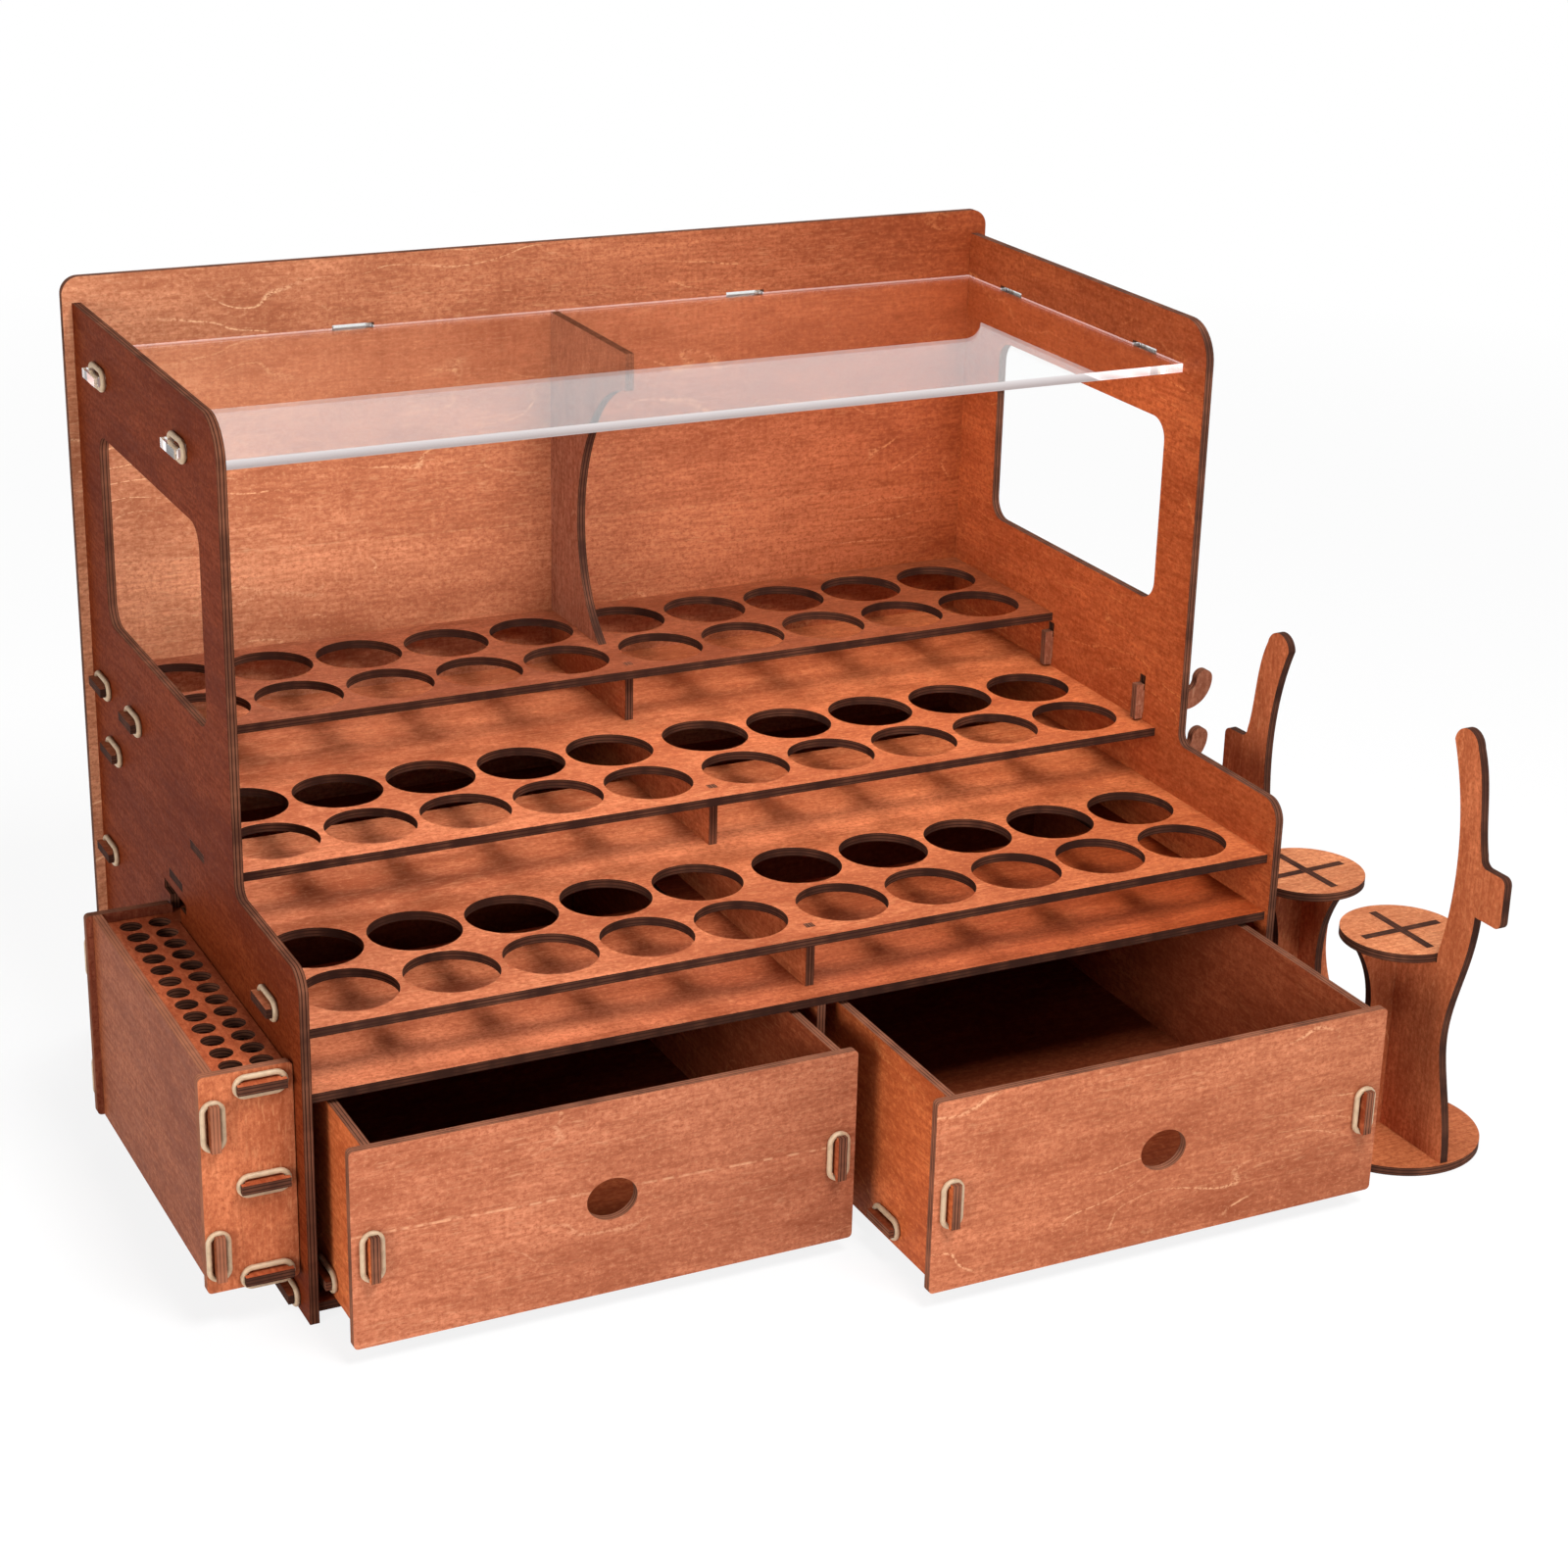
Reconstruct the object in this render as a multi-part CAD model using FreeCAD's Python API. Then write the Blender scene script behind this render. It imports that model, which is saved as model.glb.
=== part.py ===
import FreeCAD, Part

# Hobby workstation organizer: a stepped rack for round bottles with two drawers, a display space under
# a clear shelf, a brush box hung on the left side, two hook brackets hung on the right side, and two
# small stands. Flat sheets are slotted together: each tenon goes through the next sheet, and a rubber
# band in the notches behind its head holds the joint.
# Lengths are in millimetres. +X is to the right, +Y to the back, +Z up.

import math
import os
from collections import namedtuple

from FreeCAD import Vector

# Sheet and joint sizes
ply = 4.0
acrylic = 4.0
slot_fit = 0.1
tenon_length = 20.0
tenon_reach = 5.0
neck_notch = 1.9
neck_height = 2.6
band_cord = 2.4
band_slack = 0.85
cut_over = 1.0

# Bottle holes and the steps that they make
hole_diameter = 40.0
columns = 5
rows = 2
hole_web_x = 3.2
hole_web_y = 3.5
support_web = 2.0
side_web = 7.2
front_web = 8.2
top_front_web = 6.1
tier_gap = 4.6
back_web = 8.3
tier_setback = 4.0
tier_step = 27.2
tier_bearing = 6.0
support_peg = 4.0
bottom_support_setback = 10.0
middle_support_setback = 11.0
top_support_setback = 8.0

# Drawer bays
floor_lift = 4.0
bay_height = 89.5
bay_setback = 2.3
ceiling_strip = 19.3
ceiling_rear_strip = 32.5
ceiling_side_strip = 16.0
ceiling_middle_strip = 14.0
ceiling_corner = 5.0

# Side panels, back panel, divider and clear shelf
shoulder_height = 154.5
shoulder_corner = 10.0
shoulder_root = 6.0
post_setback = 81.0
post_corner = 18.0
side_above_shelf = 21.0
display_height = 143.9
window_front = 29.0
window_rear = 34.0
window_rise = 32.0
window_drop = 25.0
window_corner = 10.0
back_above_side = 11.5
back_overhang = 4.3
back_corner = 8.0
shelf_setback = 18.3
shelf_slot_rise = 1.3
divider_lip_reach = 88.0
divider_lip_drop = 17.0
divider_brow_reach = 55.8
divider_brow_drop = 32.3
divider_throat_reach = 32.3
divider_throat_height = 55.0
divider_foot_reach = 58.5

# Distances of the tenons' middles from the edges of their sheets
shelf_front_tenon = 32.2
shelf_rear_tenon = 41.9
shelf_back_tenon = 99.5
top_front_tenon = 27.4
top_rear_tenon = 20.5
middle_front_tenon = 33.7
middle_rear_tenon = 33.9
bottom_front_tenon = 33.2
bottom_rear_tenon = 28.0
ceiling_front_tenon = 57.7
ceiling_rear_tenon = 18.0
floor_front_tenon = 19.7
floor_rear_tenon = 44.5
plate_back_tenon = 110.4
side_low_tenon = 40.0
side_top_tenon = 32.0
upright_back_tenon = 72.0
partition_back_tenon = 44.0

# Drawers
drawer_gap = 1.5
drawer_lift = 0.3
drawer_top_gap = 2.1
drawer_rear_gap = 14.5
drawer_corner = 2.0
drawer_side_inset = 6.2
drawer_bottom_rise = 6.2
drawer_side_tenon = 40.7
drawer_bottom_tenon = 47.0
finger_width = 22.0
finger_height = 18.5
finger_rise = 42.7
left_drawer_open = 38.0
right_drawer_open = 92.4

# Brush box
box_front = 9.7
box_base = 18.0
box_rise = 12.0
box_corner = 2.0
box_lip = 3.0
box_gap = 0.5
brush_hole = 9.6
brush_rows = 13
brush_columns = 2
brush_pitch_y = 12.0
brush_pitch_x = 12.6
brush_front_margin = 10.6
brush_rear_margin = 7.7
brush_inner_margin = 8.0
brush_outer_margin = 10.4
box_plate_drop = 4.5
box_guide_rise = 43.6
box_bottom_rise = 2.6
box_plate_tenon = 13.5
box_side_low_tenon = 16.9
box_side_high_tenon = 74.3
hang_gap = 0.3
hang_lift = 11.0
hang_neck = 15.0
hang_head = 31.0
hang_slack = 1.0
hang_rear = 3.5
hang_front = 30.0

# Hook brackets
hook_front = 32.5
hook_spacing = 83.5
hook_slot_rise = 4.1
hook_neck = 11.0
hook_head = 17.0
hook_catch = 3.0
hook_slack = 0.5
hook_strip = 14.0
hook_strip_below = 42.0
hook_strip_above = 22.0
hook_strip_corner = 3.0
hook_thickness = 8.8
hook_bend = 5.5
hook_run = 8.5
hook_drop = 2.3
hook_pitch = 29.3
hook_count = 2

# Stands
seat_radius = 27.3
seat_top = 99.5
seat_cross = 21.0
base_radius = 40.0
base_shift = 7.0
base_tenon_inner = 10.0
base_tenon_outer = 24.0
foot_margin = 1.5
foot_rise = 19.0
waist_height = 60.0
waist_width = 14.6
shoulder_width = 24.6
arm_waist = 36.3
arm_flare = 5.0
arm_flare_rise = 10.0
arm_gap = 1.1
arm_depth = 16.6
arm_neck = 4.4
arm_belly = 5.5
arm_belly_rise = 6.0
arm_hollow = 5.0
arm_hollow_rise = 14.0
arm_lean = 3.0
arm_lean_rise = 20.0
arm_block_rise = 26.4
arm_block_height = 23.6
arm_block_reach = 38.6
arm_block_corner = 3.5
arm_block_root = 4.0
arm_tip_rise = 107.0
arm_tip_middle = 5.0
arm_tip_outer = 12.5
arm_tip_outer_drop = 6.5
arm_tip_inner = 3.1
arm_tip_inner_drop = 7.0
arm_taper = 4.2
arm_taper_drop = 19.5
stand_wall_gap = 4.0
stand_pair_gap = 6.8
far_stand_setback = 45.0
near_stand_angle = -89.0
far_stand_angle = 93.0

# Positions that follow from the sizes
pitch_x = hole_diameter + hole_web_x
pitch_y = hole_diameter + hole_web_y
row_depth = rows * hole_diameter + (rows - 1) * hole_web_y
bay_width = support_web + columns * hole_diameter + (columns - 1) * hole_web_x + side_web
middle_x = ply + bay_width + ply / 2
outer_width = 2 * middle_x
bottom_front = tier_setback
middle_front = bottom_front + front_web + row_depth + tier_gap
top_front = middle_front + front_web + row_depth + tier_gap
case_depth = top_front + top_front_web + row_depth + back_web
bottom_rear = middle_front + front_web + row_depth + tier_bearing
floor_top = floor_lift + ply
ceiling_top = floor_top + bay_height + ply
bottom_top = ceiling_top + tier_step
middle_top = bottom_top + tier_step
top_top = middle_top + tier_step
shelf_base = top_top + display_height
side_height = shelf_base + acrylic + side_above_shelf
back_height = side_height + back_above_side
box_height = ceiling_top + box_rise - box_base
box_inner_width = brush_inner_margin + (brush_columns - 1) * brush_pitch_x + brush_outer_margin
box_inner_length = brush_front_margin + (brush_rows - 1) * brush_pitch_y + brush_rear_margin
box_side_start = -box_gap - box_inner_width - ply
box_rear = box_front + ply + box_inner_length
box_top_plate = box_base + box_height - box_plate_drop - ply
box_guide_plate = box_base + box_guide_rise
box_hangers = ((box_top_plate, box_rear - hang_rear), (box_guide_plate, box_front + hang_front))
hook_slot_base = middle_top + hook_slot_rise
hook_base = hook_slot_base - hook_catch
hook_middles = (post_setback + hook_front, post_setback + hook_front + hook_spacing)

X = Vector(1, 0, 0)
Y = Vector(0, 1, 0)
Z = Vector(0, 0, 1)

# foot: middle of the tenon where its sheet meets the near face of the sheet that it passes through
# out: the way it goes; along: the way its length lies; banded: it has a head and a rubber band
Tenon = namedtuple("Tenon", "foot out along thickness banded")


def brick(one, other):
    """Box between two opposite corners."""
    low = Vector(min(one.x, other.x), min(one.y, other.y), min(one.z, other.z))
    size = Vector(abs(one.x - other.x), abs(one.y - other.y), abs(one.z - other.z))
    return Part.makeBox(size.x, size.y, size.z, low)


def bar(start, out, reach, along, width, depth):
    """Box that starts at a point, reaches out from it and lies centred on it the other two ways."""
    across = out.cross(along)
    half = along * (width / 2) + across * (depth / 2)
    return brick(start - half, start + out * reach + half)


def on_plane(plane, u, v, w):
    """Point at u and v along a sheet's plane and w through it."""
    if plane == "xy":
        return Vector(u, v, w)
    if plane == "xz":
        return Vector(u, w, v)
    return Vector(w, u, v)


def sheet(plane, start, thickness, corners):
    """Flat sheet from (u, v, radius) corners in a plane, from start on and one thickness deep."""
    turns = []
    for index, (u, v, radius) in enumerate(corners):
        here = on_plane(plane, u, v, start)
        last = corners[index - 1]
        following = corners[(index + 1) % len(corners)]
        back = (on_plane(plane, last[0], last[1], start) - here).normalize()
        ahead = (on_plane(plane, following[0], following[1], start) - here).normalize()
        if radius == 0:
            turns.append((here, None, here))
            continue
        half_angle = back.getAngle(ahead) / 2
        setback = radius / math.tan(half_angle)
        inset = radius / math.sin(half_angle) - radius
        middle = here + (back + ahead).normalize() * inset
        turns.append((here + back * setback, middle, here + ahead * setback))
    edges = []
    for index, (enter, middle, leave) in enumerate(turns):
        if middle is not None:
            edges.append(Part.Arc(enter, middle, leave).toShape())
        edges.append(Part.LineSegment(leave, turns[(index + 1) % len(turns)][0]).toShape())
    face = Part.Face(Part.Wire(edges))
    return face.extrude(on_plane(plane, 0, 0, thickness))


def rectangle(low_u, high_u, low_v, high_v, radius=0):
    """Corners of a rectangle with one corner radius."""
    corners = [(low_u, low_v), (high_u, low_v), (high_u, high_v), (low_u, high_v)]
    return [(u, v, radius) for u, v in corners]


def tenon_solid(tenon):
    """Tenon: a shank in the slot and, when banded, a notched neck and a head outside."""
    shank = bar(tenon.foot, tenon.out, ply, tenon.along, tenon_length, tenon.thickness)
    if not tenon.banded:
        return shank
    neck_foot = tenon.foot + tenon.out * ply
    neck_width = tenon_length - 2 * neck_notch
    neck = bar(neck_foot, tenon.out, neck_height, tenon.along, neck_width, tenon.thickness)
    head_foot = neck_foot + tenon.out * neck_height
    head = bar(head_foot, tenon.out, tenon_reach - neck_height, tenon.along, tenon_length, tenon.thickness)
    return shank.fuse([neck, head])


def slot(tenon):
    """Cutter for the slot that a tenon goes through."""
    start = tenon.foot - tenon.out * cut_over
    return bar(start, tenon.out, ply + 2 * cut_over, tenon.along, tenon_length + 2 * slot_fit,
               tenon.thickness + 2 * slot_fit)


def band(tenon):
    """Rubber band in the notches of a tenon's neck, lying on the face beyond the slot."""
    across = tenon.out.cross(tenon.along)
    centre = tenon.foot + tenon.out * (ply + band_cord / 2)
    radius = (tenon.thickness + band_cord) / 2 + band_slack
    reach = (tenon_length + band_cord) / 2 - neck_notch + band_slack
    run = tenon.along * (reach - radius)
    side = across * radius
    end = tenon.along * reach
    path = Part.Wire([
        Part.LineSegment(centre - run - side, centre + run - side).toShape(),
        Part.Arc(centre + run - side, centre + end, centre + run + side).toShape(),
        Part.LineSegment(centre + run + side, centre - run + side).toShape(),
        Part.Arc(centre - run + side, centre - end, centre - run - side).toShape(),
    ])
    ring = Part.Wire(Part.Circle(centre - run - side, tenon.along, band_cord / 2).toShape())
    return path.makePipeShell([ring], True, True)


def bands(tenons):
    """One compound with a band on each banded tenon."""
    return Part.makeCompound([band(tenon) for tenon in tenons if tenon.banded])


def shelf_slots(tenons):
    """Cutters that make the shelf's slots taller than the shelf, so that it drops in from above."""
    return [slot(tenon).translated(Z * shelf_slot_rise) for tenon in tenons]


def with_tenons(body, tenons):
    """A sheet with its tenons grown on."""
    return body.fuse([tenon_solid(tenon) for tenon in tenons]).removeSplitter()


def with_slots(body, tenons):
    """A sheet with the slots that other sheets' tenons need."""
    return body.cut([slot(tenon) for tenon in tenons])


def side_tenons(places, height, thickness=ply, banded=True):
    """Tenons of a level sheet through both side panels, at places along Y."""
    found = []
    for place in places:
        found.append(Tenon(Vector(ply, place, height), -X, Y, thickness, banded))
        found.append(Tenon(Vector(outer_width - ply, place, height), X, Y, thickness, banded))
    return found


def back_tenons(inset, height, thickness=ply):
    """Two banded tenons of a level sheet through the back panel, one near each side."""
    places = (ply + inset, outer_width - ply - inset)
    return [Tenon(Vector(place, case_depth, height), Y, X, thickness, True) for place in places]


def upright_tenons(place, heights):
    """Banded tenons of an upright sheet through the back panel."""
    return [Tenon(Vector(place, case_depth, height), Y, Z, ply, True) for height in heights]


def round_holes(centres, diameter, base):
    """Cutters for round holes through a level sheet."""
    depth = ply + 2 * cut_over
    return [Part.makeCylinder(diameter / 2, depth, Vector(x, y, base - cut_over)) for x, y in centres]


def bottle_centres(first_y):
    """Middles of one step's bottle holes, counted out from the middle of the rack."""
    centres = []
    for row in range(rows):
        for column in range(columns):
            offset = ply / 2 + support_web + hole_diameter / 2 + column * pitch_x
            centres.append((middle_x - offset, first_y + row * pitch_y))
            centres.append((middle_x + offset, first_y + row * pitch_y))
    return centres


def peg(support_front, base):
    """Square peg at the front of a support, flush with the top of the step on it."""
    low = Vector(middle_x - ply / 2, support_front, base)
    return brick(low, low + Vector(ply, support_peg, ply))


def peg_hole(support_front, base):
    """Cutter for the hole that a support's peg fills."""
    low = Vector(middle_x - ply / 2 - slot_fit, support_front - slot_fit, base - cut_over)
    size = Vector(ply + 2 * slot_fit, support_peg + 2 * slot_fit, ply + 2 * cut_over)
    return brick(low, low + size)


def step(front, rear, top, web, support_front, tenons):
    """One step of the rack: a level sheet with its bottle holes and tenons."""
    base = top - ply
    body = sheet("xy", base, ply, rectangle(ply, outer_width - ply, front, rear))
    centres = bottle_centres(front + web + hole_diameter / 2)
    body = body.cut(round_holes(centres, hole_diameter, base) + [peg_hole(support_front, base)])
    return with_tenons(body, tenons)


def carcass():
    """The rack itself: its sheets and the rubber bands on it, by node name."""
    level = ply / 2
    shelf_tenons = side_tenons(
        (post_setback + shelf_setback + shelf_front_tenon, case_depth - shelf_rear_tenon),
        shelf_base + acrylic / 2, acrylic)
    shelf_tenons += [Tenon(Vector(place, case_depth, shelf_base + acrylic / 2), Y, X, acrylic, True)
                     for place in (middle_x - shelf_back_tenon, middle_x + shelf_back_tenon)]
    top_tenons = side_tenons((top_front + top_front_tenon, case_depth - top_rear_tenon), top_top - level)
    top_tenons += back_tenons(plate_back_tenon, top_top - level)
    middle_tenons = side_tenons((case_depth - middle_rear_tenon,), middle_top - level)
    middle_tenons += side_tenons((middle_front + middle_front_tenon,), middle_top - level, banded=False)
    middle_tenons += back_tenons(plate_back_tenon, middle_top - level)
    bottom_tenons = side_tenons((bottom_front + bottom_front_tenon,), bottom_top - level)
    bottom_tenons += side_tenons((bottom_rear - bottom_rear_tenon,), bottom_top - level, banded=False)
    ceiling_tenons = side_tenons(
        (bay_setback + ceiling_front_tenon, case_depth - ceiling_rear_tenon), ceiling_top - level)
    ceiling_tenons += back_tenons(plate_back_tenon, ceiling_top - level)
    floor_tenons = side_tenons(
        (bay_setback + floor_front_tenon, case_depth - floor_rear_tenon), floor_top - level)
    floor_tenons += back_tenons(plate_back_tenon, floor_top - level)
    side_heights = (side_low_tenon, top_top, side_height - side_top_tenon)
    left_tenons = upright_tenons(ply / 2, side_heights)
    right_tenons = upright_tenons(outer_width - ply / 2, side_heights)
    divider_tenons = upright_tenons(middle_x, (top_top + upright_back_tenon,))
    partition_tenons = upright_tenons(middle_x, (floor_top + partition_back_tenon,))
    level_tenons = shelf_tenons + top_tenons + middle_tenons + bottom_tenons + ceiling_tenons + floor_tenons
    through_left = [tenon for tenon in level_tenons if tenon.out.x < 0]
    through_right = [tenon for tenon in level_tenons if tenon.out.x > 0]
    through_back = [tenon for tenon in level_tenons if tenon.out.y > 0]
    through_back += left_tenons + right_tenons + divider_tenons + partition_tenons

    bottom_support_front = bottom_front + bottom_support_setback
    middle_support_front = middle_front + middle_support_setback
    top_support_front = top_front + top_support_setback
    nodes = {
        "back_panel": with_slots(back_panel(), through_back).cut(shelf_slots(shelf_tenons)),
        "left_side_panel": with_slots(side_panel(0, left_tenons), through_left).cut(
            box_hang_cuts() + shelf_slots(shelf_tenons)),
        "right_side_panel": with_slots(side_panel(outer_width - ply, right_tenons), through_right).cut(
            hook_hang_cuts() + shelf_slots(shelf_tenons)),
        "top_tier": step(top_front, case_depth, top_top, top_front_web, top_support_front, top_tenons),
        "middle_tier": step(middle_front, case_depth, middle_top, front_web, middle_support_front,
                            middle_tenons),
        "bottom_tier": step(bottom_front, bottom_rear, bottom_top, front_web, bottom_support_front,
                            bottom_tenons),
        "bay_ceiling": bay_ceiling(ceiling_tenons),
        "bay_floor": with_tenons(
            sheet("xy", floor_lift, ply, rectangle(ply, outer_width - ply, bay_setback, case_depth)),
            floor_tenons),
        "bay_partition": with_tenons(
            sheet("yz", middle_x - ply / 2, ply,
                  rectangle(bay_setback, case_depth, floor_top, floor_top + bay_height)),
            partition_tenons),
        "centre_divider": with_tenons(centre_divider(), divider_tenons),
        "bottom_support": support(bottom_support_front, bottom_rear, ceiling_top, bottom_top),
        "middle_support": middle_support(middle_support_front),
        "top_support": support(top_support_front, case_depth, middle_top, top_top),
        "acrylic_shelf": with_tenons(
            sheet("xy", shelf_base, acrylic,
                  rectangle(ply, outer_width - ply, post_setback + shelf_setback, case_depth)),
            shelf_tenons),
        "left_bands": bands(through_left),
        "right_bands": bands(through_right),
        "back_bands": bands(through_back),
    }
    return nodes


def back_panel():
    """Full-height back panel with rounded top corners."""
    low = -back_overhang
    high = outer_width + back_overhang
    corners = [(low, 0, 0), (high, 0, 0), (high, back_height, back_corner), (low, back_height, back_corner)]
    return sheet("xz", case_depth, ply, corners)


def side_panel(start, tenons):
    """Side panel: a low block in front, a tall post behind it and a window in the post."""
    body = sheet("yz", start, ply, [
        (0, 0, 0),
        (case_depth, 0, 0),
        (case_depth, side_height, 0),
        (post_setback, side_height, post_corner),
        (post_setback, shoulder_height, shoulder_root),
        (0, shoulder_height, shoulder_corner),
    ])
    window = sheet("yz", start - cut_over, ply + 2 * cut_over, rectangle(
        post_setback + window_front, case_depth - window_rear,
        top_top + window_rise, shelf_base - window_drop, window_corner))
    return with_tenons(body.cut(window), tenons)


def bay_ceiling(tenons):
    """Sheet over the drawer bays, with one large opening over the back of each bay."""
    base = ceiling_top - ply
    body = sheet("xy", base, ply, rectangle(ply, outer_width - ply, bay_setback, case_depth))
    front = bottom_front + front_web + row_depth + ceiling_strip
    rear = case_depth - ceiling_rear_strip
    left = (ply + ceiling_side_strip, middle_x - ply / 2 - ceiling_middle_strip)
    right = (outer_width - left[1], outer_width - left[0])
    for low, high in (left, right):
        corners = rectangle(low, high, front, rear, ceiling_corner)
        body = body.cut(sheet("xy", base - cut_over, ply + 2 * cut_over, corners))
    return with_tenons(body, tenons)


def support(front, rear, low, top):
    """Upright strip under the middle of a step, with a peg up through the step."""
    body = sheet("yz", middle_x - ply / 2, ply, rectangle(front, rear, low, top - ply))
    return body.fuse(peg(front, top - ply)).removeSplitter()


def middle_support(front):
    """Support of the middle step, which also reaches down behind the bottom step."""
    body = sheet("yz", middle_x - ply / 2, ply, [
        (front, bottom_top, 0),
        (bottom_rear, bottom_top, 0),
        (bottom_rear, ceiling_top, 0),
        (case_depth, ceiling_top, 0),
        (case_depth, middle_top - ply, 0),
        (front, middle_top - ply, 0),
    ])
    return body.fuse(peg(front, middle_top - ply)).removeSplitter()


def centre_divider():
    """Divider of the display space, its front edge hollowed between the lip and the foot."""
    start = middle_x - ply / 2
    lip = on_plane("yz", case_depth - divider_lip_reach, shelf_base - divider_lip_drop, start)
    brow = on_plane("yz", case_depth - divider_brow_reach, shelf_base - divider_brow_drop, start)
    throat = on_plane("yz", case_depth - divider_throat_reach, top_top + divider_throat_height, start)
    foot = on_plane("yz", case_depth - divider_foot_reach, top_top, start)
    hollow = Part.BSplineCurve()
    hollow.interpolate([lip, brow, throat, foot])
    top_front = Vector(start, lip.y, shelf_base)
    top_rear = Vector(start, case_depth, shelf_base)
    foot_rear = Vector(start, case_depth, top_top)
    edges = [hollow.toShape()]
    for one, other in ((foot, foot_rear), (foot_rear, top_rear), (top_rear, top_front), (top_front, lip)):
        edges.append(Part.LineSegment(one, other).toShape())
    return Part.Face(Part.Wire(edges)).extrude(X * ply)


def drawer(centre, opened):
    """One drawer by piece name: a box of sheets that rides on the bay floor, pulled out by opened."""
    half_width = (bay_width - 2 * drawer_gap) / 2
    low = floor_top + drawer_lift
    high = floor_top + bay_height - drawer_top_gap
    rear = case_depth - drawer_rear_gap
    side_face = half_width - drawer_side_inset
    bottom_base = low + drawer_bottom_rise
    front_face = sheet("xz", 0, ply, rectangle(centre - half_width, centre + half_width, low, high,
                                               drawer_corner))
    back_face = front_face.translated(Y * (rear - ply))
    finger = Part.Ellipse(Vector(), finger_width / 2, finger_height / 2)
    finger_cut = Part.Face(Part.Wire(finger.toShape())).extrude(Z * (ply + 2 * cut_over))
    finger_cut.rotate(Vector(), X, 90)
    finger_cut.translate(Vector(centre, ply + cut_over, low + finger_rise))

    joints = {}
    for name, way in (("left", -1), ("right", 1)):
        middle = centre + way * (side_face - ply / 2)
        height = low + drawer_side_tenon
        joints[name] = [Tenon(Vector(middle, ply, height), -Y, Z, ply, True),
                        Tenon(Vector(middle, rear - ply, height), Y, Z, ply, True)]
    bottom_joints = []
    for way in (-1, 1):
        for place in (drawer_bottom_tenon, rear - drawer_bottom_tenon):
            foot = Vector(centre + way * (side_face - ply), place, bottom_base + ply / 2)
            bottom_joints.append(Tenon(foot, X * way, Y, ply, True))
    through_front = [pair[0] for pair in joints.values()]
    through_back = [pair[1] for pair in joints.values()]
    pieces = {
        "front": with_slots(front_face.cut(finger_cut), through_front),
        "back": with_slots(back_face, through_back),
        "bottom": with_tenons(
            sheet("xy", bottom_base, ply, rectangle(centre - side_face + ply, centre + side_face - ply,
                                                    ply, rear - ply)), bottom_joints),
        "bands": bands(through_front + through_back + bottom_joints),
    }
    for name, way in (("left", -1), ("right", 1)):
        start = centre + way * (side_face - ply / 2) - ply / 2
        side = with_tenons(sheet("yz", start, ply, rectangle(ply, rear - ply, low, high)), joints[name])
        through_side = [tenon for tenon in bottom_joints if tenon.out.x * way > 0]
        pieces[name + "_side"] = with_slots(side, through_side)
    return {name: shape.translated(-Y * opened) for name, shape in pieces.items()}


def hang_tab(base, place):
    """T-shaped tab that goes through the side panel and drops behind it; place is its middle along Y."""
    neck = brick(Vector(-box_gap, place - hang_neck / 2, base),
                 Vector(ply + hang_gap, place + hang_neck / 2, base + ply))
    head = brick(Vector(ply + hang_gap, place - hang_head / 2, base),
                 Vector(2 * ply + hang_gap, place + hang_head / 2, base + ply))
    return neck.fuse(head)


def box_hang_cuts():
    """Cutters for the T-shaped slots in the left side panel that the brush box hangs in."""
    cuts = []
    for base, place in box_hangers:
        neck_half = hang_neck / 2 + hang_gap
        head_half = hang_head / 2 + hang_slack
        entry = base + hang_lift
        cuts.append(brick(Vector(-cut_over, place - neck_half, base),
                          Vector(ply + cut_over, place + neck_half, entry)))
        cuts.append(brick(Vector(-cut_over, place - head_half, entry - hang_gap),
                          Vector(ply + cut_over, place + head_half, entry + ply + hang_gap)))
    return cuts


def brush_centres():
    """Middles of the brush holes, counted from the front."""
    centres = []
    for row in range(brush_rows):
        for column in range(brush_columns):
            x = -box_gap - brush_inner_margin - column * brush_pitch_x
            centres.append((x, box_front + ply + brush_front_margin + row * brush_pitch_y))
    return centres


def brush_box():
    """Brush box by piece name: two ends, an outer side and three levels, open towards the panel."""
    box_top = box_base + box_height
    inner = box_front + ply
    plate_middle = -box_gap - box_plate_tenon
    level_bases = {"top_plate": box_top_plate, "guide_plate": box_guide_plate,
                   "bottom_plate": box_base + box_bottom_rise}
    plate_joints = {}
    for name, base in level_bases.items():
        height = base + ply / 2
        plate_joints[name] = [Tenon(Vector(plate_middle, inner, height), -Y, X, ply, True),
                              Tenon(Vector(plate_middle, box_rear, height), Y, X, ply, True)]
    side_joints = []
    for rise in (box_side_low_tenon, box_side_high_tenon):
        side_middle = box_side_start + ply / 2
        side_joints.append(Tenon(Vector(side_middle, inner, box_base + rise), -Y, Z, ply, True))
        side_joints.append(Tenon(Vector(side_middle, box_rear, box_base + rise), Y, Z, ply, True))
    joints = side_joints + [tenon for pair in plate_joints.values() for tenon in pair]
    end_corners = rectangle(box_side_start - box_lip, -box_gap, box_base, box_top, box_corner)
    pieces = {
        "front": with_slots(sheet("xz", box_front, ply, end_corners),
                            [tenon for tenon in joints if tenon.out.y < 0]),
        "rear": with_slots(sheet("xz", box_rear, ply, end_corners),
                           [tenon for tenon in joints if tenon.out.y > 0]),
        "outer_side": with_tenons(
            sheet("yz", box_side_start, ply, rectangle(inner, box_rear, box_base, box_top)), side_joints),
        "bands": bands(joints),
    }
    for name, base in level_bases.items():
        plate = sheet("xy", base, ply, rectangle(box_side_start + ply, -box_gap, inner, box_rear))
        if name != "bottom_plate":
            plate = plate.cut(round_holes(brush_centres(), brush_hole, base))
        pieces[name] = with_tenons(plate, plate_joints[name])
    for name, (base, place) in zip(("top_plate", "guide_plate"), box_hangers):
        pieces[name] = pieces[name].fuse(hang_tab(base, place)).removeSplitter()
    return pieces


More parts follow.
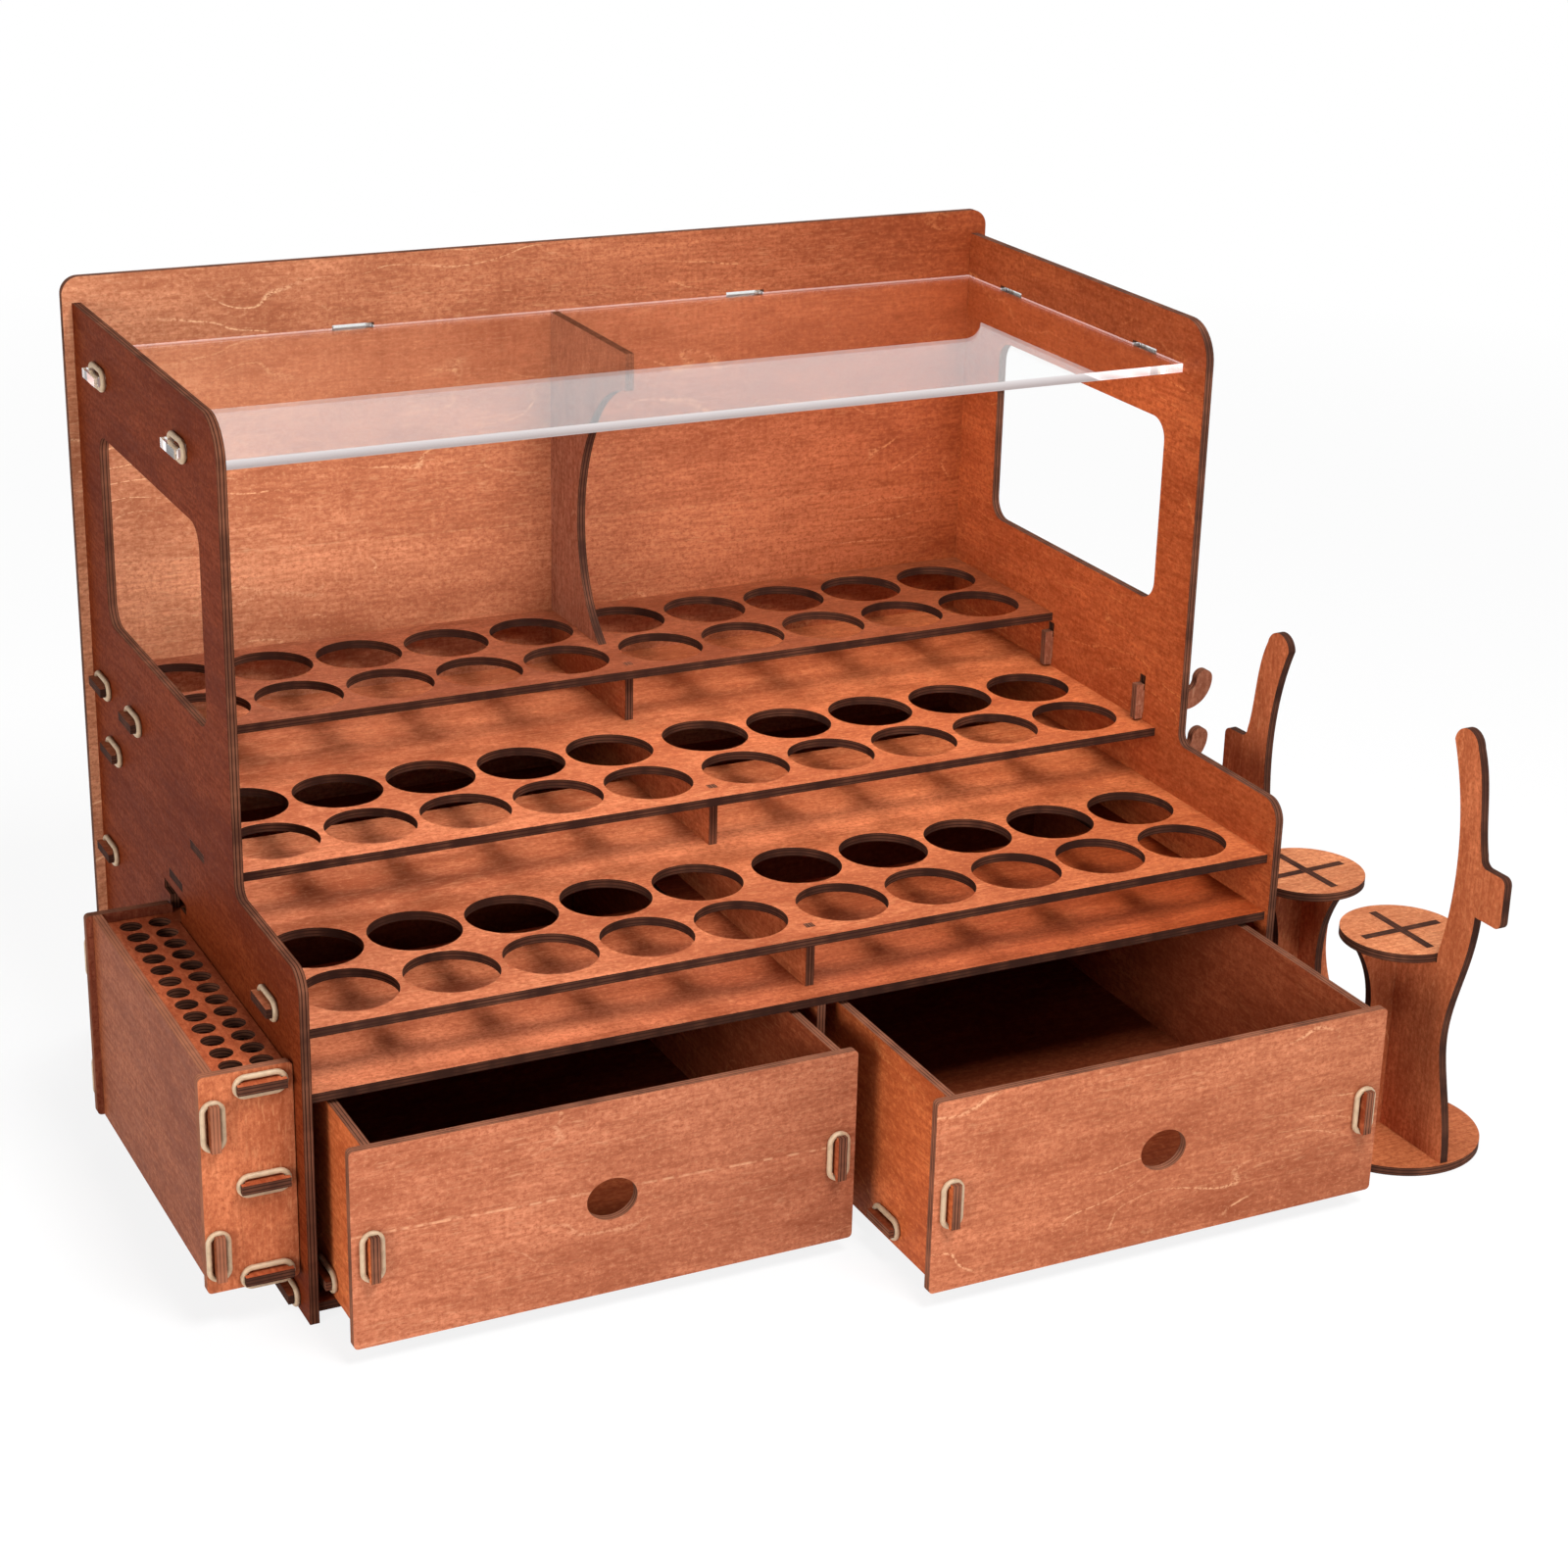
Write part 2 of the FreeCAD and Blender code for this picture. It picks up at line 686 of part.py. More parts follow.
def hook_hang_cuts():
    """Cutters for the upright slots in the right side panel that the hook brackets hang in."""
    cuts = []
    for place in hook_middles:
        low = Vector(outer_width - ply - cut_over, place - ply / 2 - hang_gap, hook_slot_base)
        size = Vector(ply + 2 * cut_over, ply + 2 * hang_gap, hook_head + 2 * hook_slack)
        cuts.append(brick(low, low + size))
    return cuts


def hook(root, base, start):
    """One upturned hook: a run out from the strip and a quarter turn up to a round tip."""
    centre = root + hook_run
    turn = base + hook_thickness + hook_bend
    outer = hook_bend + hook_thickness
    slope = math.sqrt(0.5)
    tip = centre + hook_bend + hook_thickness / 2
    points = [on_plane("xz", u, v, start) for u, v in (
        (root, base), (centre, base), (centre + outer * slope, turn - outer * slope), (centre + outer, turn),
        (tip, turn + hook_thickness / 2), (centre + hook_bend, turn),
        (centre + hook_bend * slope, turn - hook_bend * slope), (centre, base + hook_thickness),
        (root, base + hook_thickness))]
    edges = [
        Part.LineSegment(points[0], points[1]).toShape(),
        Part.Arc(points[1], points[2], points[3]).toShape(),
        Part.Arc(points[3], points[4], points[5]).toShape(),
        Part.Arc(points[5], points[6], points[7]).toShape(),
        Part.LineSegment(points[7], points[8]).toShape(),
        Part.LineSegment(points[8], points[0]).toShape(),
    ]
    return Part.Face(Part.Wire(edges)).extrude(Y * ply)


def hook_bracket(place):
    """Hook bracket: a T-head inside the panel, a neck in its slot and a strip with hooks outside."""
    start = place - ply / 2
    strip_face = outer_width + hang_gap
    strip_rear = strip_face + hook_strip
    head_rear = outer_width - ply - hang_gap
    strip = sheet("xz", start, ply, rectangle(
        strip_face, strip_rear, hook_slot_base - hook_strip_below, hook_slot_base + hook_strip_above,
        hook_strip_corner))
    head = sheet("xz", start, ply, rectangle(head_rear - ply, head_rear, hook_base, hook_base + hook_head))
    neck = sheet("xz", start, ply, rectangle(head_rear - ply, strip_face + hook_strip_corner, hook_slot_base,
                                             hook_slot_base + hook_neck))
    upper = hook_slot_base - hook_drop
    hooks = [hook(strip_rear - hook_strip_corner, upper - index * hook_pitch, start)
             for index in range(hook_count)]
    return strip.fuse([head, neck] + hooks).removeSplitter()


def spline(points):
    """Smooth edge through points."""
    curve = Part.BSplineCurve()
    curve.interpolate(points)
    return curve.toShape()


def line(one, other):
    """Straight edge between two points."""
    return Part.LineSegment(one, other).toShape()


def quarter(start, corner, end):
    """Quarter-round edge from start to end, where square edges would meet at corner."""
    middle = start + end - corner
    return Part.Arc(start, middle + (corner - middle) * math.sqrt(0.5), end).toShape()


def half_slot(low, high):
    """Cutter for the slot in which the two uprights of a stand cross; it leaves the sheet on both sides."""
    half = ply / 2 + slot_fit
    return brick(Vector(-half, -half, low), Vector(half, half, high))


def stand_tenons():
    """Tenons of one upright into the base disc and the seat disc, flush with their far faces."""
    tenons = []
    for way in (-1, 1):
        tenons.append(brick(Vector(way * base_tenon_inner, -ply / 2, 0),
                            Vector(way * base_tenon_outer, ply / 2, ply)))
    tenons.append(brick(Vector(-seat_cross, -ply / 2, seat_top - ply),
                        Vector(seat_cross, ply / 2, seat_top)))
    return tenons


def waisted_edge(way, foot_reach, waist_reach, top_reach):
    """One side of a stand's upright, from the base disc up to the seat disc."""
    start = -ply / 2
    return spline([Vector(way * foot_reach, start, ply),
                   Vector(way * (foot_reach + waist_reach) / 2, start, ply + foot_rise),
                   Vector(way * waist_reach, start, waist_height),
                   Vector(way * top_reach, start, seat_top - ply)])


def cross_upright():
    """Upright across the arm, waisted on both sides; its lower half is slotted for the arm's upright."""
    foot_reach = math.sqrt(base_radius ** 2 - base_shift ** 2) - foot_margin
    edges = [waisted_edge(way, foot_reach, waist_width, shoulder_width) for way in (-1, 1)]
    low = [Vector(way * foot_reach, -ply / 2, ply) for way in (-1, 1)]
    high = [Vector(way * shoulder_width, -ply / 2, seat_top - ply) for way in (-1, 1)]
    edges.append(line(low[0], low[1]))
    edges.append(line(high[0], high[1]))
    body = Part.Face(Part.Wire(Part.__sortEdges__(edges))).extrude(Y * ply)
    body = body.fuse(stand_tenons()).removeSplitter()
    body = body.cut(half_slot(waist_height, seat_top + cut_over))
    body.rotate(Vector(), Z, 90)
    return body


def arm_upright():
    """Upright with the arm: waisted on one side; the other climbs past the seat to a block and a tip."""
    start = -ply / 2
    foot_reach = base_radius - base_shift - foot_margin
    arm_foot = base_radius + base_shift - foot_margin
    inner = seat_radius + arm_gap
    outer = inner + arm_depth
    block_low = seat_top + arm_block_rise
    block_high = block_low + arm_block_height
    block_face = seat_radius + arm_block_reach
    tip = seat_top + arm_tip_rise
    neck = outer + arm_neck

    def at(reach, height):
        return Vector(reach, start, height)

    def round_off(reach, height, along, up):
        """Rounds the block's corner at reach and height, between points offset along and up from it."""
        here = at(reach, height)
        return quarter(here + X * along, here, here + Z * up)

    corner = arm_block_corner
    root = arm_block_root
    tip_outer = at(seat_radius + arm_tip_outer, tip - arm_tip_outer_drop)
    tip_middle = at(seat_radius + arm_tip_middle, tip)
    tip_inner = at(seat_radius - arm_tip_inner, tip - arm_tip_inner_drop)
    path = [
        line(at(-foot_reach, ply), at(arm_foot, ply)),
        spline([at(arm_foot, ply), at(arm_waist + arm_flare, ply + foot_rise + arm_flare_rise),
                at(arm_waist, waist_height), at(outer, seat_top), at(neck, block_low)]),
        line(at(neck, block_low), at(block_face - corner, block_low)),
        round_off(block_face, block_low, -corner, corner),
        line(at(block_face, block_low + corner), at(block_face, block_high - corner)),
        round_off(block_face, block_high, -corner, -corner),
        line(at(block_face - corner, block_high), at(neck + root, block_high)),
        round_off(neck, block_high, root, root),
        spline([at(neck, block_high + root), at(neck - arm_lean, block_high + arm_lean_rise),
                at(seat_radius + arm_tip_outer + arm_taper, tip - arm_taper_drop), tip_outer]),
        Part.Arc(tip_outer, tip_middle, tip_inner).toShape(),
        spline([tip_inner, at(inner + arm_hollow, block_high + arm_hollow_rise),
                at(inner + arm_belly, block_low + arm_belly_rise), at(inner, seat_top)]),
        line(at(inner, seat_top), at(inner, seat_top - ply)),
        line(at(inner, seat_top - ply), at(-shoulder_width, seat_top - ply)),
        waisted_edge(-1, foot_reach, waist_width, shoulder_width),
    ]
    body = Part.Face(Part.Wire(Part.__sortEdges__(path))).extrude(Y * ply)
    body = body.fuse(stand_tenons()).removeSplitter()
    return body.cut(half_slot(-cut_over, waist_height))


def seat_disc():
    """Round seat with the crossed slot that the two uprights fill."""
    disc = Part.makeCylinder(seat_radius, ply, Vector(0, 0, seat_top - ply))
    half = ply / 2 + slot_fit
    reach = seat_cross + slot_fit
    low = seat_top - ply - cut_over
    high = seat_top + cut_over
    arms = [brick(Vector(-reach, -half, low), Vector(reach, half, high)),
            brick(Vector(-half, -reach, low), Vector(half, reach, high))]
    return disc.cut(arms)


def base_disc():
    """Round base, set a little towards the arm, with four slots for the uprights' tenons."""
    disc = Part.makeCylinder(base_radius, ply, Vector(base_shift, 0, 0))
    half = ply / 2 + slot_fit
    cuts = []
    for way in (-1, 1):
        cut = brick(Vector(way * (base_tenon_inner - slot_fit), -half, -cut_over),
                    Vector(way * (base_tenon_outer + slot_fit), half, ply + cut_over))
        cuts.append(cut)
        cuts.append(cut.rotated(Vector(), Z, 90))
    return disc.cut(cuts)


def stand(axis_x, axis_y, angle):
    """One stand by piece name, with its arm turned to an angle from +X."""
    pieces = {"base_disc": base_disc(), "seat_disc": seat_disc(), "arm_upright": arm_upright(),
              "cross_upright": cross_upright()}
    for shape in pieces.values():
        shape.rotate(Vector(), Z, angle)
        shape.translate(Vector(axis_x, axis_y, 0))
    return pieces


def named(prefix, pieces):
    """Pieces of one sub-assembly under their node names."""
    return {prefix + "_" + name: shape for name, shape in pieces.items()}


def all_nodes():
    """Every node of the organizer, by name, in the rack's own coordinates."""
    nodes = carcass()
    nodes.update(named("left_drawer", drawer((ply + middle_x - ply / 2) / 2, left_drawer_open)))
    nodes.update(named("right_drawer", drawer((middle_x + ply / 2 + outer_width - ply) / 2,
                                              right_drawer_open)))
    nodes.update(named("brush_box", brush_box()))
    for name, place in zip(("front_hook_bracket", "rear_hook_bracket"), hook_middles):
        nodes[name] = hook_bracket(place)
    stand_x = outer_width + stand_wall_gap + base_radius
    far_base = far_stand_setback
    near_base = far_base - 2 * base_radius - stand_pair_gap
    nodes.update(named("far_stand", stand(stand_x, far_base - base_shift, far_stand_angle)))
    nodes.update(named("near_stand", stand(stand_x, near_base + base_shift, near_stand_angle)))
    return nodes


def main():
    """Set the origin at the bottom centre of the whole set and write one STEP file per node."""
    nodes = all_nodes()
    extent = Part.makeCompound(list(nodes.values())).optimalBoundingBox(False, False)
    origin = Vector(extent.Center.x, extent.Center.y, extent.ZMin)
    os.makedirs("parts", exist_ok=True)
    for name, shape in nodes.items():
        shape.translated(-origin).exportStep("parts/" + name + ".step")
    print("nodes", len(nodes), "origin", origin, "size", extent.XLength, extent.YLength, extent.ZLength)


main()
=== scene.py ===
"""Dresses a hobby workstation organizer: slotted stained plywood, a clear shelf and rubber bands."""

from __future__ import annotations

import logging
import math
from dataclasses import dataclass, field
from enum import Enum

import bpy
from mathutils import Euler, Matrix, Vector

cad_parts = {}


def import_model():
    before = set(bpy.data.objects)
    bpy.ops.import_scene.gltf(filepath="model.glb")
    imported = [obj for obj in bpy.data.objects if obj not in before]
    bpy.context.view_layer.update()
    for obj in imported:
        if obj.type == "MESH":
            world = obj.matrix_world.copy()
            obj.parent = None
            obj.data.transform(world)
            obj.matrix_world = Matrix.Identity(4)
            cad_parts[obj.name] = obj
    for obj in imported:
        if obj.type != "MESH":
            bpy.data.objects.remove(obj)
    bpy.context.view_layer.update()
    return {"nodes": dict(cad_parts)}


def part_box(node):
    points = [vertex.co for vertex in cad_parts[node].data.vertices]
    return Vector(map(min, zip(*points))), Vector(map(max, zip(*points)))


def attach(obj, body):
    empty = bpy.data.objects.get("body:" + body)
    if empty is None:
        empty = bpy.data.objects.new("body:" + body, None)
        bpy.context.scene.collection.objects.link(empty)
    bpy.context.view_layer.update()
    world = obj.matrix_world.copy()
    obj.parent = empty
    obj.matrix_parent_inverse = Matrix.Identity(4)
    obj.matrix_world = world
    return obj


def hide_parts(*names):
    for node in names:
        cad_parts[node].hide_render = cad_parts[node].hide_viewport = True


log = logging.getLogger("organizer")

Colour = tuple[float, float, float]
Socket = bpy.types.NodeSocket
Value = Socket | float | int | tuple[float, ...]

WHITE: Colour = (1.0, 1.0, 1.0)
BLACK: Colour = (0.0, 0.0, 0.0)
PLY = 0.004
ACRYLIC = 0.004
# A Mix node has sockets for each kind of value. These are its factor, its two colours and their mix.
MIX_INPUTS = (0, 6, 7)
MIX_RESULT = 2
BANDS = {
    "left_bands": "carcass",
    "right_bands": "carcass",
    "back_bands": "carcass",
    "left_drawer_bands": "left_drawer",
    "right_drawer_bands": "right_drawer",
    "brush_box_bands": "brush_box",
}


class Way(Enum):
    """A direction of the rack, used for the way a sheet faces or its grain runs."""

    ACROSS = (1.0, 0.0, 0.0)
    BACK = (0.0, 1.0, 0.0)
    UP = (0.0, 0.0, 1.0)

    @property
    def vector(self) -> Vector:
        """The direction as a vector."""
        return Vector(self.value)


class Bench:
    """Adds nodes to one tree and wires them."""

    def __init__(self, tree: bpy.types.NodeTree) -> None:
        """Starts on a tree.

        Args:
            tree: the node tree that the nodes go into.
        """
        self.tree = tree

    def add(self, kind: str, **settings: object) -> bpy.types.Node:
        """Adds one node.

        Args:
            kind: the node's type name.
            settings: properties to set on it.

        Returns:
            The new node.
        """
        node = self.tree.nodes.new(kind)
        for name, value in settings.items():
            setattr(node, name, value)
        return node

    def feed(self, socket: Socket, value: Value) -> None:
        """Links or sets an input.

        Args:
            socket: the input.
            value: an output socket to link, or a plain value.
        """
        if isinstance(value, bpy.types.NodeSocket):
            self.tree.links.new(value, socket)
        elif socket.type == "RGBA" and len(value) == 3:
            socket.default_value = (*value, 1.0)
        else:
            socket.default_value = value

    def math(self, operation: str, *values: Value) -> Socket:
        """A Math node's result.

        Args:
            operation: the node's operation.
            values: its inputs in order.

        Returns:
            The output socket.
        """
        node = self.add("ShaderNodeMath", operation=operation)
        for socket, value in zip(node.inputs, values):
            self.feed(socket, value)
        return node.outputs[0]

    def dot(self, one: Value, other: Value) -> Socket:
        """The dot product of two vectors.

        Args:
            one: the first vector.
            other: the second vector.

        Returns:
            The product.
        """
        node = self.add("ShaderNodeVectorMath", operation="DOT_PRODUCT")
        self.feed(node.inputs[0], one)
        self.feed(node.inputs[1], other)
        return node.outputs["Value"]

    def vector(self, operation: str, one: Value, other: Value) -> Socket:
        """A Vector Math node's vector result.

        Args:
            operation: the node's operation.
            one: the first vector.
            other: the second vector.

        Returns:
            The resulting vector.
        """
        node = self.add("ShaderNodeVectorMath", operation=operation)
        self.feed(node.inputs[0], one)
        self.feed(node.inputs[1], other)
        return node.outputs["Vector"]

    def combine(self, x: Value, y: Value, z: Value) -> Socket:
        """A vector from three values.

        Args:
            x: its first part.
            y: its second part.
            z: its third part.

        Returns:
            The vector.
        """
        node = self.add("ShaderNodeCombineXYZ")
        for socket, value in zip(node.inputs, (x, y, z)):
            self.feed(socket, value)
        return node.outputs[0]

    def span(self, value: Value, low: float, high: float, to_low: float = 0.0,
             to_high: float = 1.0) -> Socket:
        """Maps one range of values to another and clamps it.

        Args:
            value: the value to map.
            low: the value that becomes to_low.
            high: the value that becomes to_high.
            to_low: the result at low.
            to_high: the result at high.

        Returns:
            The mapped value.
        """
        node = self.add("ShaderNodeMapRange", clamp=True)
        for socket, number in zip(node.inputs, (value, low, high, to_low, to_high)):
            self.feed(socket, number)
        return node.outputs[0]

    def blend(self, parts: tuple[Socket, ...], shares: tuple[float, ...]) -> Socket:
        """Adds values up, each times its share.

        Args:
            parts: the values.
            shares: how much of each.

        Returns:
            The sum.
        """
        total = self.math("MULTIPLY", parts[0], shares[0])
        for part, share in zip(parts[1:], shares[1:]):
            total = self.math("ADD", total, self.math("MULTIPLY", part, share))
        return total

    def noise(self, where: Value, scale: float, detail: float = 3.0, rough: float = 0.55) -> Socket:
        """A noise texture's value.

        Args:
            where: the coordinates.
            scale: features per unit of the coordinates.
            detail: how many finer layers it has.
            rough: how strong the finer layers are.

        Returns:
            The noise from 0 to 1.
        """
        node = self.add("ShaderNodeTexNoise", noise_dimensions="3D")
        self.feed(node.inputs["Vector"], where)
        node.inputs["Scale"].default_value = scale
        node.inputs["Detail"].default_value = detail
        node.inputs["Roughness"].default_value = rough
        return node.outputs[0]

    def mix(self, factor: Value, one: Value, other: Value, blend: str = "MIX") -> Socket:
        """Mixes two colours.

        Args:
            factor: how much of the second colour.
            one: the first colour.
            other: the second colour.
            blend: the blend mode.

        Returns:
            The mixed colour.
        """
        node = self.add("ShaderNodeMix", data_type="RGBA", blend_type=blend)
        for place, value in zip(MIX_INPUTS, (factor, one, other)):
            self.feed(node.inputs[place], value)
        return node.outputs[MIX_RESULT]

    def bump(self, height: Value, strength: float, distance: float) -> Socket:
        """The normal of a fine relief.

        Args:
            height: the relief, from 0 to 1.
            strength: how much of it is felt.
            distance: how high 1 stands, in metres.

        Returns:
            The normal.
        """
        node = self.add("ShaderNodeBump")
        node.inputs["Strength"].default_value = strength
        node.inputs["Distance"].default_value = distance
        self.feed(node.inputs["Height"], height)
        return node.outputs[0]

    def looked_at(self) -> Socket:
        """Tells what looks at a surface from light that only falls on it.

        Returns:
            1 for the camera, a reflection or a look through something clear, and 0 for the rest.
        """
        path = self.add("ShaderNodeLightPath").outputs
        return self.math("MAXIMUM", path["Is Camera Ray"],
                         self.math("MAXIMUM", path["Is Glossy Ray"], path["Is Transmission Ray"]))


class EffectGroup:
    """A shader node group that several materials share; a subclass fills it once."""

    name: str = ""
    inputs: dict[str, str] = {}
    outputs: dict[str, str] = {}

    def tree(self) -> bpy.types.NodeTree:
        """Finds the group, or builds it the first time.

        Returns:
            The group's node tree.
        """
        found = bpy.data.node_groups.get(self.name)
        if found is not None:
            return found
        tree = bpy.data.node_groups.new(self.name, "ShaderNodeTree")
        for name, kind in self.inputs.items():
            tree.interface.new_socket(name=name, in_out="INPUT", socket_type=kind)
        for name, kind in self.outputs.items():
            tree.interface.new_socket(name=name, in_out="OUTPUT", socket_type=kind)
        bench = Bench(tree)
        source = bench.add("NodeGroupInput").outputs
        results = self.fill(bench, {name: source[name] for name in self.inputs})
        target = bench.add("NodeGroupOutput").inputs
        for name, socket in results.items():
            tree.links.new(socket, target[name])
        return tree

    def fill(self, bench: Bench, given: dict[str, Socket]) -> dict[str, Socket]:
        """Builds the inside of the group.

        Args:
            bench: the bench of the group's tree.
            given: the group's inputs by name.

        Returns:
            What each named output puts out.
        """
        raise NotImplementedError

    def place(self, bench: Bench, **values: Value) -> dict[str, Socket]:
        """Puts the group in a material.

        Args:
            bench: the bench of the material's tree.
            values: the group's inputs, with _ for each space in a name.

        Returns:
            The group's outputs by name.
        """
        node = bench.add("ShaderNodeGroup", node_tree=self.tree())
        for name, value in values.items():
            bench.feed(node.inputs[name.replace("_", " ")], value)
        return {socket.name: socket for socket in node.outputs}


class SheetLayout(EffectGroup):
    """Measures a point of a sheet along its grain, across it and through it, and masks the cut edges."""

    name = "sheet_layout"
    inputs = {
        "Position": "NodeSocketVector", "Normal": "NodeSocketVector", "Facing": "NodeSocketVector",
        "Grain": "NodeSocketVector", "Side": "NodeSocketVector", "Middle": "NodeSocketVector",
        "Half Thickness": "NodeSocketFloat", "Seed": "NodeSocketFloat",
    }
    outputs = {"Figure": "NodeSocketVector", "Depth": "NodeSocketFloat", "Edge": "NodeSocketFloat"}
    face_limit = 0.7

    def fill(self, bench: Bench, given: dict[str, Socket]) -> dict[str, Socket]:
        """Builds the layout.

        Args:
            bench: the bench of the group's tree.
            given: the group's inputs by name.

        Returns:
            What each named output puts out.
        """
        position = given["Position"]
        from_middle = bench.vector("SUBTRACT", position, given["Middle"])
        depth = bench.math("DIVIDE", bench.dot(from_middle, given["Facing"]), given["Half Thickness"])
        facing = bench.math("ABSOLUTE", bench.dot(given["Normal"], given["Facing"]))
        edge = bench.math("LESS_THAN", facing, self.face_limit)
        figure = bench.combine(bench.dot(position, given["Grain"]), bench.dot(position, given["Side"]),
                               given["Seed"])
        return {"Figure": figure, "Depth": depth, "Edge": edge}


@dataclass(frozen=True)
class Layer:
    """One noise layer of the figure: its features per metre along and across the grain, and its place."""

    along: float
    across: float
    place: float
    detail: float = 3.0
    rough: float = 0.6

    def over(self, bench: Bench, figure: Socket) -> Socket:
        """Lays the layer over a sheet.

        Args:
            bench: the bench of the group's tree.
            figure: where a point lies along and across the grain, with the sheet's seed.

        Returns:
            The noise from 0 to 1.
        """
        where = bench.vector("MULTIPLY", figure, (self.along, self.across, self.place))
        return bench.noise(where, 1.0, self.detail, self.rough)


class WoodFigure(EffectGroup):
    """The face of a peeled veneer: cloudy stain, pores, pale flecks, broken flame lines and a joint."""

    name = "wood_figure"
    inputs = {"Figure": "NodeSocketVector", "Joint": "NodeSocketFloat", "Joint Slope": "NodeSocketFloat"}
    outputs = {"Cloud": "NodeSocketFloat", "Pore": "NodeSocketFloat", "Fleck": "NodeSocketFloat",
               "Flame": "NodeSocketFloat", "Seam": "NodeSocketFloat", "Relief": "NodeSocketFloat"}
    broad_cloud = Layer(5.0, 15.0, 3.0, detail=4.0)
    middle_cloud = Layer(26.0, 80.0, 37.0, detail=4.0)
    fine_cloud = Layer(170.0, 420.0, 41.0, detail=2.0)
    cloud_shares = (0.45, 0.30, 0.25)
    past_joint_share = 0.045
    specks = Layer(430.0, 560.0, 5.0, rough=0.75)
    fibres = Layer(40.0, 640.0, 7.0)
    cross_fibres = Layer(620.0, 60.0, 43.0, detail=2.0)
    weave_shares = (0.46, 0.16, 0.38)
    dark_specks = (0.36, 0.50, 0.75, 0.0)
    dark_fibres = (0.40, 0.54, 0.65, 0.0)
    pale_specks = (0.55, 0.72, 0.0, 0.8)
    streaks = Layer(110.0, 700.0, 11.0, detail=2.0)
    streak_span = (0.56, 0.72)
    streak_patches = Layer(9.0, 22.0, 17.0, detail=2.0)
    streak_patch_span = (0.44, 0.62)
    rings_per_metre = 55.0
    ring_sway = Layer(5.0, 11.0, 13.0, rough=0.5)
    sway_share = 11.0
    ring_line = (0.045, 0.012)
    ring_breaks = (0.42, 0.54)
    flame_patches = Layer(10.0, 20.0, 19.0)
    flame_patch_span = (0.52, 0.62)
    seam_width = (0.0003, 0.0007, 1.0, 0.0)
    seam_breaks = Layer(190.0, 40.0, 47.0, detail=2.0)
    seam_break_span = (0.42, 0.56)

    def fill(self, bench: Bench, given: dict[str, Socket]) -> dict[str, Socket]:
        """Builds the figure.

        Args:
            bench: the bench of the group's tree.
            given: the group's inputs by name.

        Returns:
            What each named output puts out.
        """
        figure = given["Figure"]
        along = bench.dot(figure, (1.0, 0.0, 0.0))
        across = bench.dot(figure, (0.0, 1.0, 0.0))

        def grain(layer: Layer) -> Socket:
            """The noise of one layer of this figure."""
            return layer.over(bench, figure)

        joint = bench.math("ADD", given["Joint"], bench.math("MULTIPLY", given["Joint Slope"], along))
        past = bench.math("SUBTRACT", across, joint)
        clouds = (grain(self.broad_cloud), grain(self.middle_cloud), grain(self.fine_cloud),
                  bench.math("GREATER_THAN", past, 0.0))
        cloud = bench.blend(clouds, (*self.cloud_shares, self.past_joint_share))
        speck = grain(self.specks)
        weave = bench.blend((grain(self.fibres), grain(self.cross_fibres), speck), self.weave_shares)
        pore = bench.math("MAXIMUM", bench.span(speck, *self.dark_specks),
                          bench.span(weave, *self.dark_fibres))
        streak = bench.math("MULTIPLY", bench.span(grain(self.streaks), *self.streak_span),
                            bench.span(grain(self.streak_patches), *self.streak_patch_span))
        fleck = bench.math("MAXIMUM", bench.span(speck, *self.pale_specks), streak)
        rings = bench.blend((across, grain(self.ring_sway)), (self.rings_per_metre, self.sway_share))
        ridge = bench.math("ABSOLUTE", bench.math("SUBTRACT", bench.math("FRACT", rings), 0.5))
        line = bench.math("MULTIPLY", bench.span(ridge, *self.ring_line),
                          bench.span(speck, *self.ring_breaks))
        flame = bench.math("MULTIPLY", line, bench.span(grain(self.flame_patches), *self.flame_patch_span))
        seam = bench.math("MULTIPLY", bench.span(bench.math("ABSOLUTE", past), *self.seam_width),
                          bench.span(grain(self.seam_breaks), *self.seam_break_span))
        return {"Cloud": cloud, "Pore": pore, "Fleck": fleck, "Flame": flame, "Seam": seam, "Relief": weave}


class BurntEdge(EffectGroup):
    """How dark the cut edge is: scorched in places, with glue lines between the veneers."""

    name = "burnt_edge"
    inputs = {"Figure": "NodeSocketVector", "Depth": "NodeSocketFloat", "Char": "NodeSocketFloat"}
    outputs = {"Burn": "NodeSocketFloat"}
    wobble = Layer(160.0, 160.0, 29.0, detail=2.0)
    wobble_height = 0.18
    line_depth = 0.38
    line_blur = (0.05, 0.16, 0.38, 0.0)
    skin_blur = (0.80, 0.97, 0.0, 0.30)
    scorch = Layer(60.0, 60.0, 23.0)
    scorch_span = (0.3, 0.7, -0.16, 0.16)

    def fill(self, bench: Bench, given: dict[str, Socket]) -> dict[str, Socket]:
        """Builds the edge's burn.

        Args:
            bench: the bench of the group's tree.
            given: the group's inputs by name.

        Returns:
            What each named output puts out.
        """
        figure = given["Figure"]
        wobble = bench.math("SUBTRACT", self.wobble.over(bench, figure), 0.5)
        sway = bench.math("MULTIPLY", wobble, self.wobble_height)
        depth = bench.math("ADD", bench.math("ABSOLUTE", given["Depth"]), sway)
        from_line = bench.math("ABSOLUTE", bench.math("SUBTRACT", depth, self.line_depth))
        glue = bench.math("MAXIMUM", bench.span(from_line, *self.line_blur),
                          bench.span(depth, *self.skin_blur))
        scorch = bench.span(self.scorch.over(bench, figure), *self.scorch_span)
        burn = bench.math("ADD", given["Char"], scorch)
        return {"Burn": bench.span(bench.math("ADD", burn, glue), 0.0, 1.0)}


def middle_of(node: str) -> Vector:
    """The middle of a node's box.

    Args:
        node: the node's name.

    Returns:
        The middle point.
    """
    low, high = (Vector(corner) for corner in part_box(node))
    return (low + high) / 2


